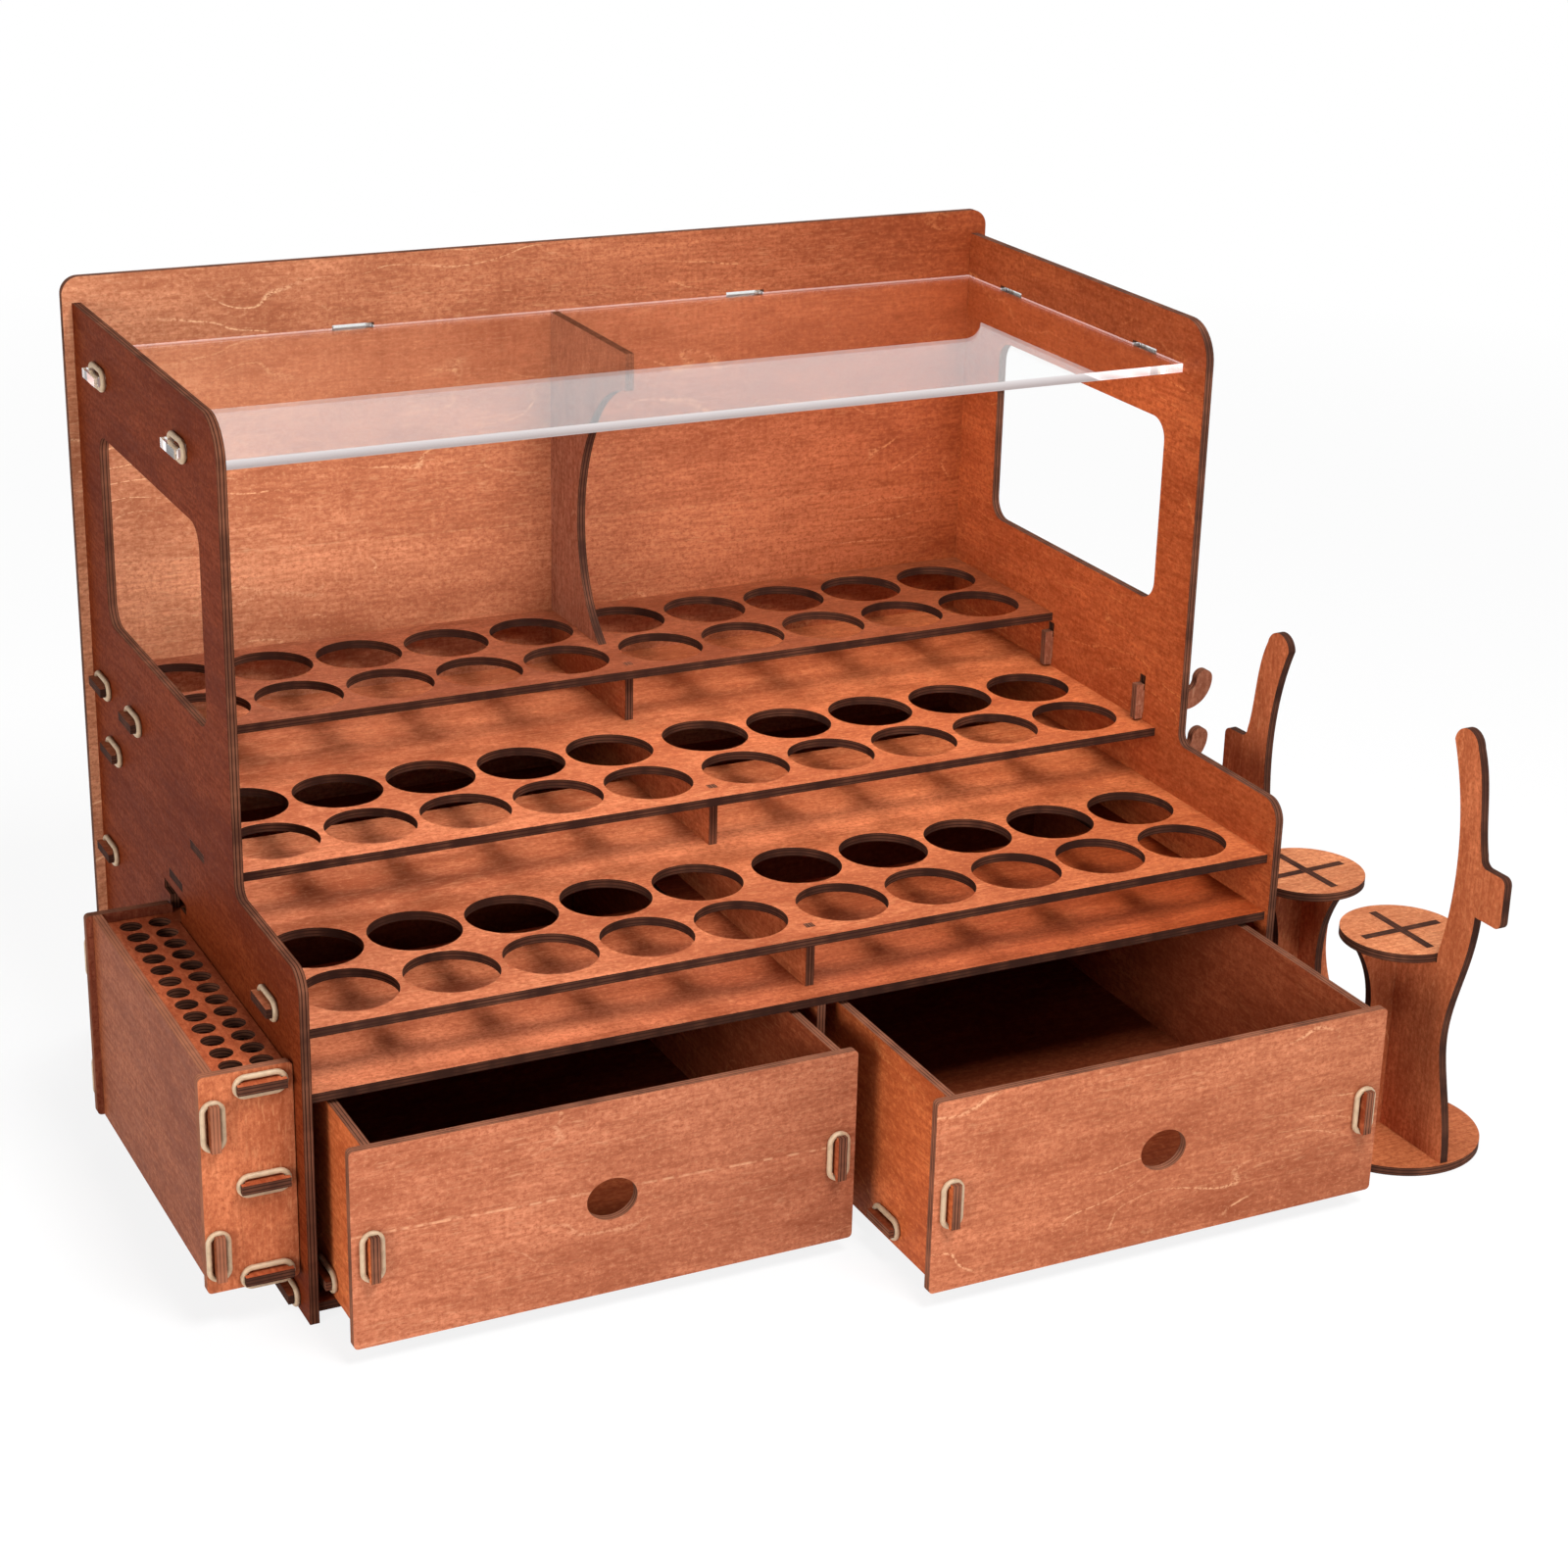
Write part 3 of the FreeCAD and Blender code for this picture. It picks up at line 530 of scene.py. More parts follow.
@dataclass(frozen=True)
class Sheet:
    """Where one sheet lies and how its grain runs."""

    middle: Vector
    facing: Vector
    grain: Vector
    thickness: float

    @property
    def side(self) -> Vector:
        """The direction across the grain, in the sheet."""
        return self.facing.cross(self.grain)

    @classmethod
    def of(cls, node: str, facing: Way, grain: Way, thickness: float) -> Sheet:
        """Reads a sheet's place from its solid.

        Args:
            node: the node's name.
            facing: the way that its faces look.
            grain: the way that its grain runs.
            thickness: the sheet's thickness.

        Returns:
            The sheet.
        """
        return cls(middle_of(node), facing.vector, grain.vector, thickness)

    def layout(self, bench: Bench, where: bpy.types.bpy_prop_collection,
               seed: float = 0.0) -> dict[str, Socket]:
        """Puts the sheet's layout in a material.

        Args:
            bench: the bench of the material's tree.
            where: the outputs of its Texture Coordinate node.
            seed: a number that gives the sheet its own figure.

        Returns:
            The layout's outputs by name.
        """
        return SheetLayout().place(
            bench, Position=where["Object"], Normal=where["Normal"], Facing=tuple(self.facing),
            Grain=tuple(self.grain), Side=tuple(self.side), Middle=tuple(self.middle),
            Half_Thickness=self.thickness / 2, Seed=seed)


@dataclass(frozen=True)
class ToneWithPaintedLight:
    """Factors on one sheet's plain stain at the rack's left and right: painted light and shade, partly the
    sheet's own tone.
    """

    left: Colour = WHITE
    right: Colour = WHITE

    @classmethod
    def plain(cls, red: float, green: float, blue: float) -> ToneWithPaintedLight:
        """One tone over the whole sheet."""
        return cls((red, green, blue), (red, green, blue))


@dataclass(frozen=True)
class StripJoint:
    """Where two strips of a veneer meet: its place across the grain, its slope and how pale it is.

    The place is far outside the rack where a veneer has no joint.
    """

    place: float = 9.0
    slope: float = 0.0
    strength: float = 0.0


@dataclass(frozen=True)
class Veneer:
    """The figure and finish of one sheet, with its tone of painted light and shade."""

    facing: Way
    grain: Way
    tone: ToneWithPaintedLight = ToneWithPaintedLight()
    flame: float = 0.35
    char: float = 0.6
    gloss: float = 0.08
    joint: StripJoint = StripJoint()


@dataclass(frozen=True)
class StainedPlywood:
    """Plywood stained reddish brown and laser cut, with dark edges."""

    light: Colour = (0.620, 0.185, 0.080)
    deep: Colour = (0.290, 0.062, 0.022)
    pale: Colour = (0.800, 0.360, 0.170)
    burnt: Colour = (0.031, 0.011, 0.007)
    core: Colour = (0.360, 0.132, 0.070)
    face_roughness: tuple[float, float] = (0.62, 0.50)
    edge_roughness: float = 0.85
    cloud_span: tuple[float, float] = (0.38, 0.62)
    relief_span: tuple[float, float] = (0.35, 0.65)
    relief_strength: float = 0.4
    relief_height: float = 0.0002
    fleck: float = 0.32
    spread: float = 0.25

    def material(self, name: str, sheet: Sheet, seed: float, veneer: Veneer) -> bpy.types.Material:
        """Makes the finish for one sheet.

        Args:
            name: the material's name.
            sheet: where the sheet lies.
            seed: a number that gives the sheet its own figure.
            veneer: its tone, figure and edges.

        Returns:
            The material.
        """
        material = bpy.data.materials.new(name)
        material.use_nodes = True
        bench = Bench(material.node_tree)
        shader = material.node_tree.nodes["Principled BSDF"]
        where = bench.add("ShaderNodeTexCoord").outputs
        layout = sheet.layout(bench, where, seed)
        wood = WoodFigure().place(bench, Figure=layout["Figure"], Joint=veneer.joint.place,
                                  Joint_Slope=veneer.joint.slope)
        burn = BurntEdge().place(bench, Figure=layout["Figure"], Depth=layout["Depth"], Char=veneer.char)
        stain = bench.mix(bench.span(wood["Cloud"], *self.cloud_span), self.deep, self.light)
        stain = bench.mix(wood["Pore"], stain, self.deep)
        marks = {"Fleck": self.fleck, "Flame": veneer.flame, "Seam": veneer.joint.strength}
        for mark, strength in marks.items():
            stain = bench.mix(bench.math("MULTIPLY", wood[mark], strength), stain, self.pale)
        # Painted light and shade: the sheet's tone factors, blended from the rack's left to its right,
        # multiply the stain.
        across = bench.span(bench.dot(where["Object"], Way.ACROSS.value), -self.spread, self.spread)
        tone = bench.mix(across, veneer.tone.left, veneer.tone.right)
        stain = bench.mix(1.0, stain, tone, "MULTIPLY")
        edge = bench.mix(burn["Burn"], self.core, self.burnt)
        bench.feed(shader.inputs["Base Color"], bench.mix(layout["Edge"], stain, edge))
        rough = bench.span(wood["Relief"], *self.relief_span, *self.face_roughness)
        bench.feed(shader.inputs["Roughness"], bench.math("MAXIMUM", rough, bench.math(
            "MULTIPLY", layout["Edge"], self.edge_roughness)))
        shader.inputs["Specular IOR Level"].default_value = veneer.gloss
        bench.feed(shader.inputs["Normal"],
                   bench.bump(wood["Relief"], self.relief_strength, self.relief_height))
        return material


@dataclass(frozen=True)
class NaturalRubber:
    """Plain beige rubber of the bands."""

    colour: Colour = (0.46, 0.32, 0.20)
    dull: Colour = (0.26, 0.17, 0.10)
    roughness: float = 0.5
    dust_scale: float = 420.0
    dust_span: tuple[float, ...] = (0.42, 0.7, 0.0, 0.5)
    relief_strength: float = 0.15
    relief_height: float = 0.0001

    def material(self, name: str) -> bpy.types.Material:
        """Makes the finish.

        Args:
            name: the material's name.

        Returns:
            The material.
        """
        material = bpy.data.materials.new(name)
        material.use_nodes = True
        bench = Bench(material.node_tree)
        shader = material.node_tree.nodes["Principled BSDF"]
        where = bench.add("ShaderNodeTexCoord").outputs["Object"]
        dust = bench.noise(where, self.dust_scale, detail=3.0, rough=0.6)
        bench.feed(shader.inputs["Base Color"],
                   bench.mix(bench.span(dust, *self.dust_span), self.colour, self.dull))
        shader.inputs["Roughness"].default_value = self.roughness
        bench.feed(shader.inputs["Normal"], bench.bump(dust, self.relief_strength, self.relief_height))
        return material


@dataclass(frozen=True)
class ClearAcrylic:
    """Clear cast acrylic sheet whose cut edges carry a painted glow.

    The edges glow by emission, a painted light, in full within lit_reach of the middle, across and back;
    past it the tenon heads glow only dimly.
    """

    tint: Colour = (0.97, 0.985, 0.98)
    painted_edge_glow: Colour = (0.78, 0.72, 0.72)
    painted_edge_dim_glow: Colour = (0.48, 0.40, 0.39)
    painted_rear_glow: Colour = (1.00, 0.92, 0.90)
    index: float = 1.40
    lit_reach: tuple[float, float] = (0.224, 0.0935)
    dimmed: float = 0.12
    blur: float = 0.001
    glint_span: tuple[float, float] = (-0.6, 0.8)
    rear_span: tuple[float, float] = (0.5, 0.6)
    haze_scale: float = 12.0
    haze_roughness: tuple[float, ...] = (0.3, 0.8, 0.0, 0.02)
    passed_light: Colour = (0.63, 0.63, 0.63)

    def material(self, name: str, sheet: Sheet) -> bpy.types.Material:
        """Makes the finish.

        Args:
            name: the material's name.
            sheet: where the sheet lies.

        Returns:
            The material.
        """
        material = bpy.data.materials.new(name)
        material.use_nodes = True
        bench = Bench(material.node_tree)
        shader = material.node_tree.nodes["Principled BSDF"]
        where = bench.add("ShaderNodeTexCoord").outputs
        layout = sheet.layout(bench, where)
        haze = bench.noise(where["Object"], self.haze_scale, detail=2.0, rough=0.5)
        bench.feed(shader.inputs["Base Color"], bench.mix(haze, self.tint, WHITE))
        bench.feed(shader.inputs["Roughness"], bench.span(haze, *self.haze_roughness))
        from_middle = bench.vector("SUBTRACT", where["Object"], tuple(sheet.middle))
        aside = bench.math("ABSOLUTE", bench.dot(from_middle, Way.ACROSS.value))
        behind = bench.dot(from_middle, Way.BACK.value)
        lit = layout["Edge"]
        for distance, reach in zip((aside, behind), self.lit_reach):
            near = bench.span(distance, reach, reach + self.blur, 1.0, self.dimmed)
            lit = bench.math("MULTIPLY", lit, near)
        # Painted light: the cut edges glow by emission, brighter towards the top face and brightest on the
        # rear edge.
        painted_glow = bench.mix(bench.span(layout["Depth"], *self.glint_span), self.painted_edge_dim_glow, self.painted_edge_glow)
        rear = bench.span(bench.dot(where["Normal"], Way.BACK.value), *self.rear_span)
        painted_glow = bench.mix(rear, painted_glow, self.painted_rear_glow)
        bench.feed(shader.inputs["Emission Color"], bench.mix(lit, BLACK, painted_glow))
        shader.inputs["Emission Strength"].default_value = 1.0
        shader.inputs["Transmission Weight"].default_value = 1.0
        shader.inputs["IOR"].default_value = self.index
        clear = bench.add("ShaderNodeBsdfTransparent")
        clear.inputs["Color"].default_value = (*self.passed_light, 1.0)
        passed = bench.add("ShaderNodeMixShader")
        bench.feed(passed.inputs[0], bench.add("ShaderNodeLightPath").outputs["Is Shadow Ray"])
        bench.feed(passed.inputs[1], shader.outputs[0])
        bench.feed(passed.inputs[2], clear.outputs[0])
        bench.feed(material.node_tree.nodes["Material Output"].inputs["Surface"], passed.outputs[0])
        return material


def dress(node: bpy.types.Object, material: bpy.types.Material) -> None:
    """Puts one material in all of a node's slots.

    Args:
        node: the object.
        material: the finish.
    """
    if not node.material_slots:
        node.data.materials.append(material)
    for place in node.material_slots:
        place.material = material


@dataclass
class SubAssembly:
    """A named group of sheets that share one body and one stock."""

    body: str
    wood: StainedPlywood
    thickness: float = PLY
    seed: float = 0.0
    seed_step: float = 0.37

    def veneers(self) -> dict[str, Veneer]:
        """The figure and finish of each sheet, by node name."""
        raise NotImplementedError

    def build(self, nodes: dict[str, bpy.types.Object]) -> None:
        """Dresses every sheet.

        Args:
            nodes: the frame's nodes by name.
        """
        for count, (name, veneer) in enumerate(self.veneers().items()):
            sheet = Sheet.of(name, veneer.facing, veneer.grain, self.thickness)
            self.stain(nodes, name, sheet, self.seed + self.seed_step * count, veneer)

    def stain(self, nodes: dict[str, bpy.types.Object], name: str, sheet: Sheet, seed: float,
              veneer: Veneer) -> None:
        """Dresses one sheet.

        Args:
            nodes: the frame's nodes by name.
            name: the sheet's node.
            sheet: where it lies.
            seed: a number that gives it its own figure.
            veneer: its figure and finish.
        """
        dress(nodes[name], self.wood.material("stained_" + name, sheet, seed, veneer))
        log.info("%s: %s dressed as stained plywood", self.body, name)


@dataclass
class Carcass(SubAssembly):
    """The rack's own sheets."""

    def veneers(self) -> dict[str, Veneer]:
        """Chooses the veneer of each of the rack's sheets.

        Returns:
            The veneers by node name.
        """
        # These tones paint in light and shade. The back, the steps and the bay ceiling grade from a painted
        # pale sheen at the left to darker painted shade at the right. The top step is darker overall:
        # painted shade under the shelf. The left side panel, the bay floor, the partition and the supports
        # are darker.
        back = ToneWithPaintedLight((1.00, 1.42, 1.74), (0.53, 0.31, 0.13))
        left = ToneWithPaintedLight.plain(0.305, 0.187, 0.115)
        right = ToneWithPaintedLight.plain(0.84, 0.65, 0.45)
        top_step = ToneWithPaintedLight((0.57, 0.62, 0.73), (0.42, 0.34, 0.24))
        step = ToneWithPaintedLight((1.00, 1.14, 1.26), (0.88, 0.78, 0.57))
        ceiling = ToneWithPaintedLight((0.96, 1.04, 1.12), (0.64, 0.37, 0.15))
        floor = ToneWithPaintedLight.plain(0.45, 0.38, 0.35)
        partition = ToneWithPaintedLight.plain(0.7, 0.65, 0.55)
        divider = ToneWithPaintedLight.plain(0.65, 0.80, 1.05)
        support = Veneer(Way.ACROSS, Way.BACK, ToneWithPaintedLight.plain(0.8, 0.75, 0.65), char=0.7)
        return {
            "back_panel": Veneer(Way.BACK, Way.ACROSS, back, flame=0.7, char=0.7,
                                 joint=StripJoint(-0.2273, 0.014, 0.18)),
            "left_side_panel": Veneer(Way.ACROSS, Way.BACK, left, flame=0.15, char=0.76, gloss=0.02),
            "right_side_panel": Veneer(Way.ACROSS, Way.BACK, right, flame=0.6, char=0.74),
            "top_tier": Veneer(Way.UP, Way.ACROSS, top_step, flame=0.15, char=0.92),
            "middle_tier": Veneer(Way.UP, Way.ACROSS, step, flame=0.15, char=0.92),
            "bottom_tier": Veneer(Way.UP, Way.ACROSS, step, flame=0.15, char=0.92),
            "bay_ceiling": Veneer(Way.UP, Way.ACROSS, ceiling, flame=0.2, char=0.95),
            "bay_floor": Veneer(Way.UP, Way.ACROSS, floor, flame=0.2, char=0.92),
            "bay_partition": Veneer(Way.ACROSS, Way.BACK, partition, char=0.7),
            "centre_divider": Veneer(Way.ACROSS, Way.UP, divider, flame=0.3, char=0.84),
            "bottom_support": support,
            "middle_support": support,
            "top_support": support,
        }


@dataclass
class Drawer(SubAssembly):
    """One drawer."""

    front: ToneWithPaintedLight = ToneWithPaintedLight()
    # Painted shade: the inside sheets are darker, where little light falls into a drawer, and the right
    # side is darker than the left.
    inside: ToneWithPaintedLight = ToneWithPaintedLight.plain(0.42, 0.32, 0.26)
    left: ToneWithPaintedLight = ToneWithPaintedLight.plain(1.0, 0.85, 0.60)
    right: ToneWithPaintedLight = ToneWithPaintedLight.plain(0.70, 0.57, 0.50)
    flame: float = 0.3
    joint: StripJoint = StripJoint()

    def veneers(self) -> dict[str, Veneer]:
        """Chooses the veneer of each of the drawer's sheets.

        Returns:
            The veneers by node name.
        """
        return {
            self.body + "_front": Veneer(Way.BACK, Way.ACROSS, self.front, flame=self.flame, char=0.52,
                                         joint=self.joint),
            self.body + "_back": Veneer(Way.BACK, Way.ACROSS, self.inside, char=0.62),
            self.body + "_left_side": Veneer(Way.ACROSS, Way.BACK, self.left, char=0.58),
            self.body + "_right_side": Veneer(Way.ACROSS, Way.BACK, self.right, char=0.58),
            self.body + "_bottom": Veneer(Way.UP, Way.ACROSS, self.inside),
        }


@dataclass
class BrushBox(SubAssembly):
    """The brush box on the left side panel."""

    def veneers(self) -> dict[str, Veneer]:
        """Chooses the veneer of each of the box's sheets.

        Returns:
            The veneers by node name.
        """
        plate = Veneer(Way.UP, Way.BACK, ToneWithPaintedLight.plain(0.85, 0.70, 0.62), flame=0.2, char=0.8)
        return {
            "brush_box_front": Veneer(Way.BACK, Way.UP, ToneWithPaintedLight.plain(0.95, 1.0, 1.0), flame=0.2, char=0.3),
            "brush_box_rear": Veneer(Way.BACK, Way.UP, ToneWithPaintedLight.plain(0.35, 0.30, 0.34), flame=0.2, char=0.5),
            "brush_box_outer_side": Veneer(Way.ACROSS, Way.BACK, ToneWithPaintedLight.plain(0.50, 0.48, 0.43),
                                           flame=0.15, char=0.25),
            "brush_box_top_plate": plate,
            "brush_box_guide_plate": plate,
            "brush_box_bottom_plate": plate,
        }


@dataclass
class HookBracket(SubAssembly):
    """One hook bracket on the right side panel."""

    def veneers(self) -> dict[str, Veneer]:
        """The veneer of the one sheet, by node name."""
        return {self.body + "_bracket": Veneer(Way.BACK, Way.UP, ToneWithPaintedLight.plain(0.68, 0.90, 1.20))}


@dataclass
class Stand(SubAssembly):
    """One stand; its uprights are turned about its own axis."""

    angle: float = 90.0
    upright_seed: float = 3.0

    def veneers(self) -> dict[str, Veneer]:
        """Chooses the veneer of the discs, which face up as the rack's levels do.

        Returns:
            The veneers by node name.
        """
        return {
            self.body + "_base_disc": Veneer(Way.UP, Way.ACROSS, ToneWithPaintedLight.plain(0.80, 0.82, 0.73),
                                             flame=0.2, char=0.8),
            self.body + "_seat_disc": Veneer(Way.UP, Way.ACROSS, ToneWithPaintedLight.plain(1.05, 1.30, 1.30),
                                             flame=0.2, char=0.8),
        }

    def build(self, nodes: dict[str, bpy.types.Object]) -> None:
        """Dresses the discs, then the two uprights.

        Args:
            nodes: the frame's nodes by name.
        """
        super().build(nodes)
        arm = Matrix.Rotation(math.radians(self.angle), 3, "Z") @ Way.ACROSS.vector
        across = Vector((-arm.y, arm.x, 0))
        axis = middle_of(self.body + "_seat_disc")
        veneer = Veneer(Way.ACROSS, Way.UP, ToneWithPaintedLight.plain(1.06, 1.08, 1.02), flame=0.35, char=0.9)
        for count, (name, facing) in enumerate((("_arm_upright", across), ("_cross_upright", arm))):
            sheet = Sheet(axis, facing, Way.UP.vector, self.thickness)
            self.stain(nodes, self.body + name, sheet, self.seed + self.upright_seed + count, veneer)


@dataclass
class RubberBands:
    """The rubber bands of one body, made anew as smooth loops on the tenons' necks."""

    node: str
    body: str
    rubber: NaturalRubber
    sides: int = 12
    bend_steps: int = 14
    bend_share: float = 0.499
    weld: float = 1e-6

    def places(self, source: bpy.types.Object) -> list[tuple[Vector, Euler, Vector]]:
        """Finds each band of the CAD node.

        Args:
            source: the node's object.

        Returns:
            The middle, the turn and the sorted size of each band.
        """
        corners: dict[int, list[Vector]] = {}
        parent = list(range(len(source.data.vertices)))

        def root(index: int) -> int:
            """Finds the vertex that stands for all that are joined to one.

            Args:
                index: the one vertex.

            Returns:
                The index of the vertex that stands for it.
            """
            while parent[index] != index:
                parent[index] = parent[parent[index]]
                index = parent[index]
            return index

        seen: dict[tuple[int, int, int], int] = {}
        for vertex in source.data.vertices:
            key = tuple(round(part / self.weld) for part in vertex.co)
            if key in seen:
                parent[root(vertex.index)] = root(seen[key])
            seen[key] = vertex.index
        for edge in source.data.edges:
            parent[root(edge.vertices[0])] = root(edge.vertices[1])
        for vertex in source.data.vertices:
            corners.setdefault(root(vertex.index), []).append(vertex.co)
        found = []
        for points in corners.values():
            low = Vector([min(point[axis] for point in points) for axis in range(3)])
            high = Vector([max(point[axis] for point in points) for axis in range(3)])
            size = high - low
            order = sorted(range(3), key=lambda axis: size[axis], reverse=True)
            along = Vector([float(axis == order[0]) for axis in range(3)])
            out = Vector([float(axis == order[2]) for axis in range(3)])
            turn = Matrix((along, out.cross(along), out)).transposed().to_euler()
            found.append(((low + high) / 2, turn, Vector([size[axis] for axis in order])))
        return found

    def tree(self, size: Vector) -> bpy.types.NodeTree:
        """Builds the tree that sets one loop on each point.

        Args:
            size: the outer length, width and thickness of a loop.

        Returns:
            The Geometry Nodes tree.
        """
        tree = bpy.data.node_groups.new("band_loops_" + self.node, "GeometryNodeTree")
        tree.interface.new_socket(name="Geometry", in_out="INPUT", socket_type="NodeSocketGeometry")
        for name, value in (("Loop Length", size.x), ("Loop Width", size.y), ("Cord", size.z)):
            socket = tree.interface.new_socket(name=name, in_out="INPUT", socket_type="NodeSocketFloat")
            socket.default_value = value
        tree.interface.new_socket(name="Rubber", in_out="INPUT", socket_type="NodeSocketMaterial")
        tree.interface.new_socket(name="Geometry", in_out="OUTPUT", socket_type="NodeSocketGeometry")
        bench = Bench(tree)
        given = bench.add("NodeGroupInput").outputs
        cord_radius = bench.math("MULTIPLY", given["Cord"], 0.5)
        length = bench.math("SUBTRACT", given["Loop Length"], given["Cord"])
        width = bench.math("SUBTRACT", given["Loop Width"], given["Cord"])
        block = bench.add("GeometryNodeCurvePrimitiveQuadrilateral")
        bench.feed(block.inputs["Width"], length)
        bench.feed(block.inputs["Height"], width)
        bend = bench.add("GeometryNodeFilletCurve", mode="POLY")
        bench.feed(bend.inputs["Curve"], block.outputs["Curve"])
        bend.inputs["Count"].default_value = self.bend_steps
        bench.feed(bend.inputs["Radius"], bench.math("MULTIPLY", width, self.bend_share))
        ring = bench.add("GeometryNodeCurvePrimitiveCircle")
        ring.inputs["Resolution"].default_value = self.sides
        bench.feed(ring.inputs["Radius"], cord_radius)
        loop = bench.add("GeometryNodeCurveToMesh")
        bench.feed(loop.inputs["Curve"], bend.outputs["Curve"])
        bench.feed(loop.inputs["Profile Curve"], ring.outputs["Curve"])
        turn = bench.add("GeometryNodeInputNamedAttribute", data_type="FLOAT_VECTOR")
        turn.inputs["Name"].default_value = "turn"
        copies = bench.add("GeometryNodeInstanceOnPoints")
        bench.feed(copies.inputs["Points"], given["Geometry"])
        bench.feed(copies.inputs["Instance"], loop.outputs["Mesh"])
        bench.feed(copies.inputs["Rotation"], turn.outputs["Attribute"])
        real = bench.add("GeometryNodeRealizeInstances")
        bench.feed(real.inputs["Geometry"], copies.outputs["Instances"])
        smooth = bench.add("GeometryNodeSetShadeSmooth")
        bench.feed(smooth.inputs["Geometry"], real.outputs["Geometry"])
        finish = bench.add("GeometryNodeSetMaterial")
        bench.feed(finish.inputs["Geometry"], smooth.outputs["Geometry"])
        bench.feed(finish.inputs["Material"], given["Rubber"])
        target = bench.add("NodeGroupOutput").inputs
        bench.feed(target["Geometry"], finish.outputs["Geometry"])
        return tree

    def build(self, nodes: dict[str, bpy.types.Object]) -> None:
        """Makes the loops and lets them stand for the CAD node.

        Args:
            nodes: the frame's nodes by name.
        """
        found = self.places(nodes[self.node])
        points = bpy.data.meshes.new(self.node + "_points")
        points.from_pydata([tuple(middle) for middle, _, _ in found], [], [])
        turns = points.attributes.new("turn", "FLOAT_VECTOR", "POINT")
        turns.data.foreach_set("vector", [part for _, turn, _ in found for part in turn])
        piece = bpy.data.objects.new(self.node + "_loops", points)
        bpy.context.scene.collection.objects.link(piece)
        material = self.rubber.material("rubber_" + self.node)
        modifier = piece.modifiers.new("loops", "NODES")
        modifier.node_group = self.tree(found[0][2])
        for item in modifier.node_group.interface.items_tree:
            if item.item_type == "SOCKET" and item.in_out == "INPUT" and item.name == "Rubber":
                modifier[item.identifier] = material
        made = bpy.data.meshes.new_from_object(piece.evaluated_get(bpy.context.evaluated_depsgraph_get()))
        piece.modifiers.clear()
        piece.data = made
        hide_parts(self.node)
        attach(piece, self.body)
        log.info("%s: %d rubber bands on their tenons", self.body, len(found))


@dataclass
class Lamp:
    """One soft area lamp, aimed at the rack."""

    name: str
    place: tuple[float, float, float]
    size: float
    power: float
    colour: Colour = WHITE


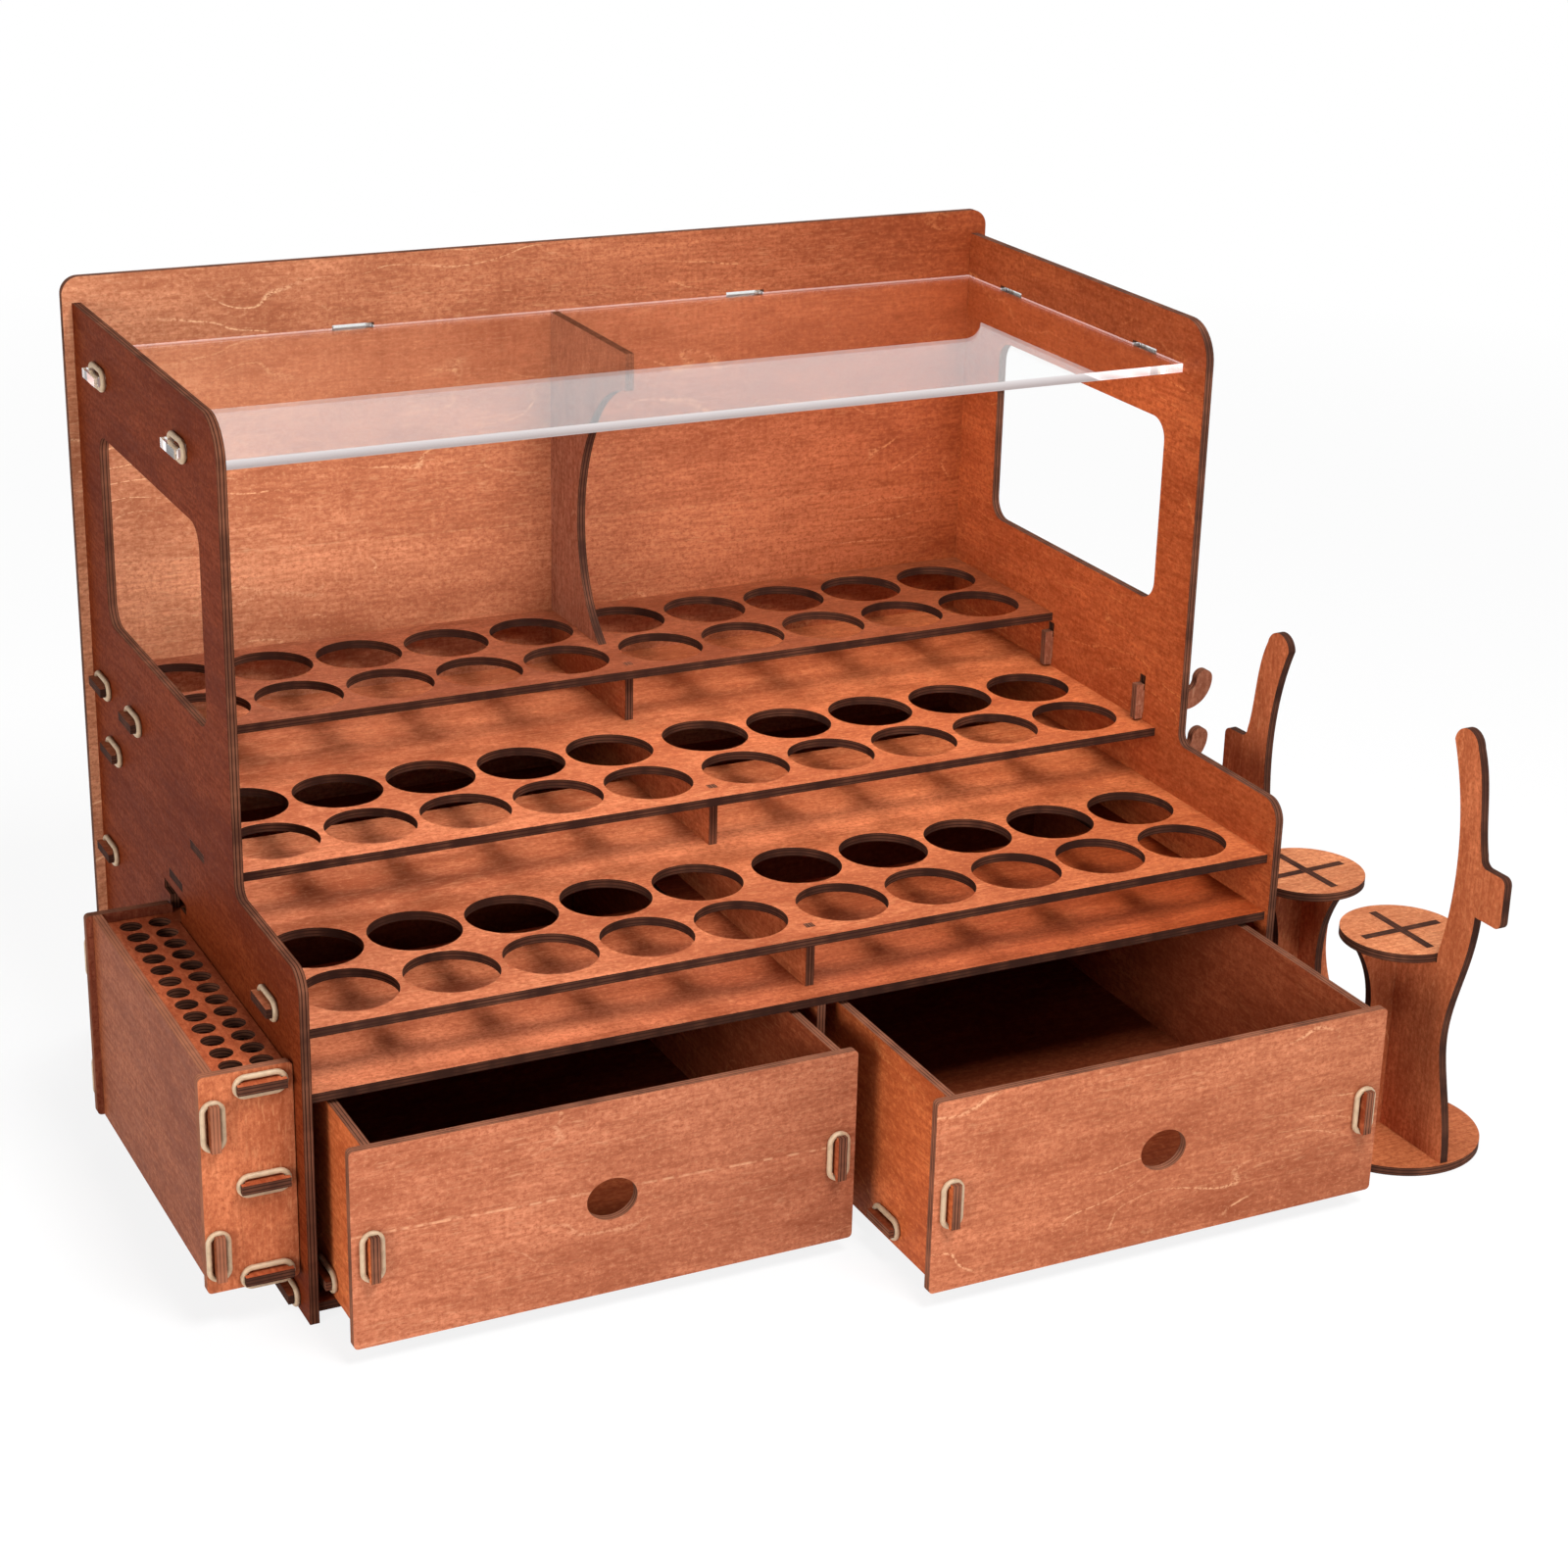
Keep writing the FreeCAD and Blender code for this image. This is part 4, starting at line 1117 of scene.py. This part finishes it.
@dataclass
class Studio:
    """A pale floor, soft lamps, a white surround and the camera."""

    place: tuple[float, float, float] = (-0.57526, -1.14647, 0.66440)
    turn: tuple[float, float, float] = (68.44992, -1.43332, -26.36168)
    lens: float = 71.478
    sensor: float = 36.0
    view_depth: float = 20.0
    ambient: float = 0.10
    aim: tuple[float, float, float] = (0.0, 0.0, 0.12)
    floor_reach: float = 6.0
    floor_grey: float = 0.86
    floor_roughness: float = 0.9
    glow_span: tuple[float, ...] = (0.6, 1.8, 0.85, 1.0)
    lamps: list[Lamp] = field(default_factory=lambda: [
        Lamp("top_lamp", (0.15, 0.50, 1.60), size=0.65, power=13.5),
        Lamp("key_lamp", (0.10, -0.95, 1.60), size=0.60, power=33.0),
        Lamp("front_lamp", (0.95, -1.90, 0.35), size=0.70, power=8.0),
        Lamp("left_lamp", (-1.65, -0.85, 0.48), size=0.80, power=22.5),
    ])

    def build(self) -> None:
        """Makes all of it."""
        self.camera()
        self.world()
        self.floor()
        for lamp in self.lamps:
            self.light(lamp)
        bpy.context.scene.view_settings.view_transform = "Standard"
        log.info("studio: camera, floor, surround and %d lamps", len(self.lamps))

    def camera(self) -> None:
        """Sets the camera."""
        data = bpy.data.cameras.new("camera")
        data.lens = self.lens
        data.sensor_width = self.sensor
        data.clip_end = self.view_depth
        camera = bpy.data.objects.new("camera", data)
        camera.location = self.place
        camera.rotation_euler = [math.radians(angle) for angle in self.turn]
        bpy.context.scene.collection.objects.link(camera)
        bpy.context.scene.camera = camera

    def world(self) -> None:
        """Sets a surround that looks white and lights softly."""
        world = bpy.data.worlds.new("surround")
        world.use_nodes = True
        bpy.context.scene.world = world
        bench = Bench(world.node_tree)
        background = world.node_tree.nodes["Background"]
        background.inputs["Color"].default_value = (*WHITE, 1.0)
        strength = bench.span(bench.looked_at(), 0.0, 1.0, self.ambient, 1.0)
        bench.feed(background.inputs["Strength"], strength)

    def floor(self) -> None:
        """Lays a pale floor that keeps the shadow."""
        size = self.floor_reach
        mesh = bpy.data.meshes.new("floor")
        mesh.from_pydata([(-size, -size, 0), (size, -size, 0), (size, size, 0), (-size, size, 0)], [],
                         [(0, 1, 2, 3)])
        floor = bpy.data.objects.new("floor", mesh)
        bpy.context.scene.collection.objects.link(floor)
        material = bpy.data.materials.new("pale_floor")
        material.use_nodes = True
        bench = Bench(material.node_tree)
        tree = material.node_tree
        shader = tree.nodes["Principled BSDF"]
        shader.inputs["Base Color"].default_value = (*[self.floor_grey] * 3, 1.0)
        shader.inputs["Roughness"].default_value = self.floor_roughness
        glow = bench.add("ShaderNodeEmission")
        glow.inputs["Strength"].default_value = 1.0
        where = bench.add("ShaderNodeTexCoord").outputs["Object"]
        far = bench.math("SQRT", bench.dot(where, where))
        blend = bench.add("ShaderNodeMixShader")
        share = bench.math("MULTIPLY", bench.looked_at(), bench.span(far, *self.glow_span))
        bench.feed(blend.inputs[0], share)
        bench.feed(blend.inputs[1], shader.outputs[0])
        bench.feed(blend.inputs[2], glow.outputs[0])
        bench.feed(tree.nodes["Material Output"].inputs["Surface"], blend.outputs[0])
        mesh.materials.append(material)

    def light(self, lamp: Lamp) -> None:
        """Hangs one lamp.

        Args:
            lamp: its place and power.
        """
        data = bpy.data.lights.new(lamp.name, "AREA")
        data.size = lamp.size
        data.energy = lamp.power
        data.color = lamp.colour
        light = bpy.data.objects.new(lamp.name, data)
        light.location = lamp.place
        light.rotation_euler = (Vector(self.aim) - Vector(lamp.place)).to_track_quat("-Z", "Y").to_euler()
        bpy.context.scene.collection.objects.link(light)


def main() -> None:
    """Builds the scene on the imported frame."""
    logging.basicConfig(level=logging.INFO, format="%(message)s")
    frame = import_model()
    nodes = frame["nodes"]
    Studio().build()
    wood = StainedPlywood()
    assemblies = [
        Carcass("carcass", wood, seed=1.0),
        Drawer("left_drawer", wood, seed=11.0, front=ToneWithPaintedLight((0.92, 1.08, 1.28), (0.46, 0.54, 0.65)),
               joint=StripJoint(-0.0521, 0.025, 0.5)),
        Drawer("right_drawer", wood, seed=21.0, front=ToneWithPaintedLight((1.03, 1.16, 1.32), (0.80, 0.94, 1.06)),
               flame=0.7),
        BrushBox("brush_box", wood, seed=31.0),
        HookBracket("front_hook", wood, seed=41.0),
        HookBracket("rear_hook", wood, seed=43.0),
        Stand("near_stand", wood, seed=51.0, angle=-89.0),
        Stand("far_stand", wood, seed=61.0, angle=93.0),
    ]
    for assembly in assemblies:
        assembly.build(nodes)
    shelf = Sheet.of("acrylic_shelf", Way.UP, Way.ACROSS, ACRYLIC)
    dress(nodes["acrylic_shelf"], ClearAcrylic().material("clear_acrylic_shelf", shelf))
    log.info("carcass: acrylic_shelf dressed as clear acrylic")
    rubber = NaturalRubber()
    for node, body in BANDS.items():
        RubberBands(node, body, rubber).build(nodes)


if __name__ == "__main__":
    main()
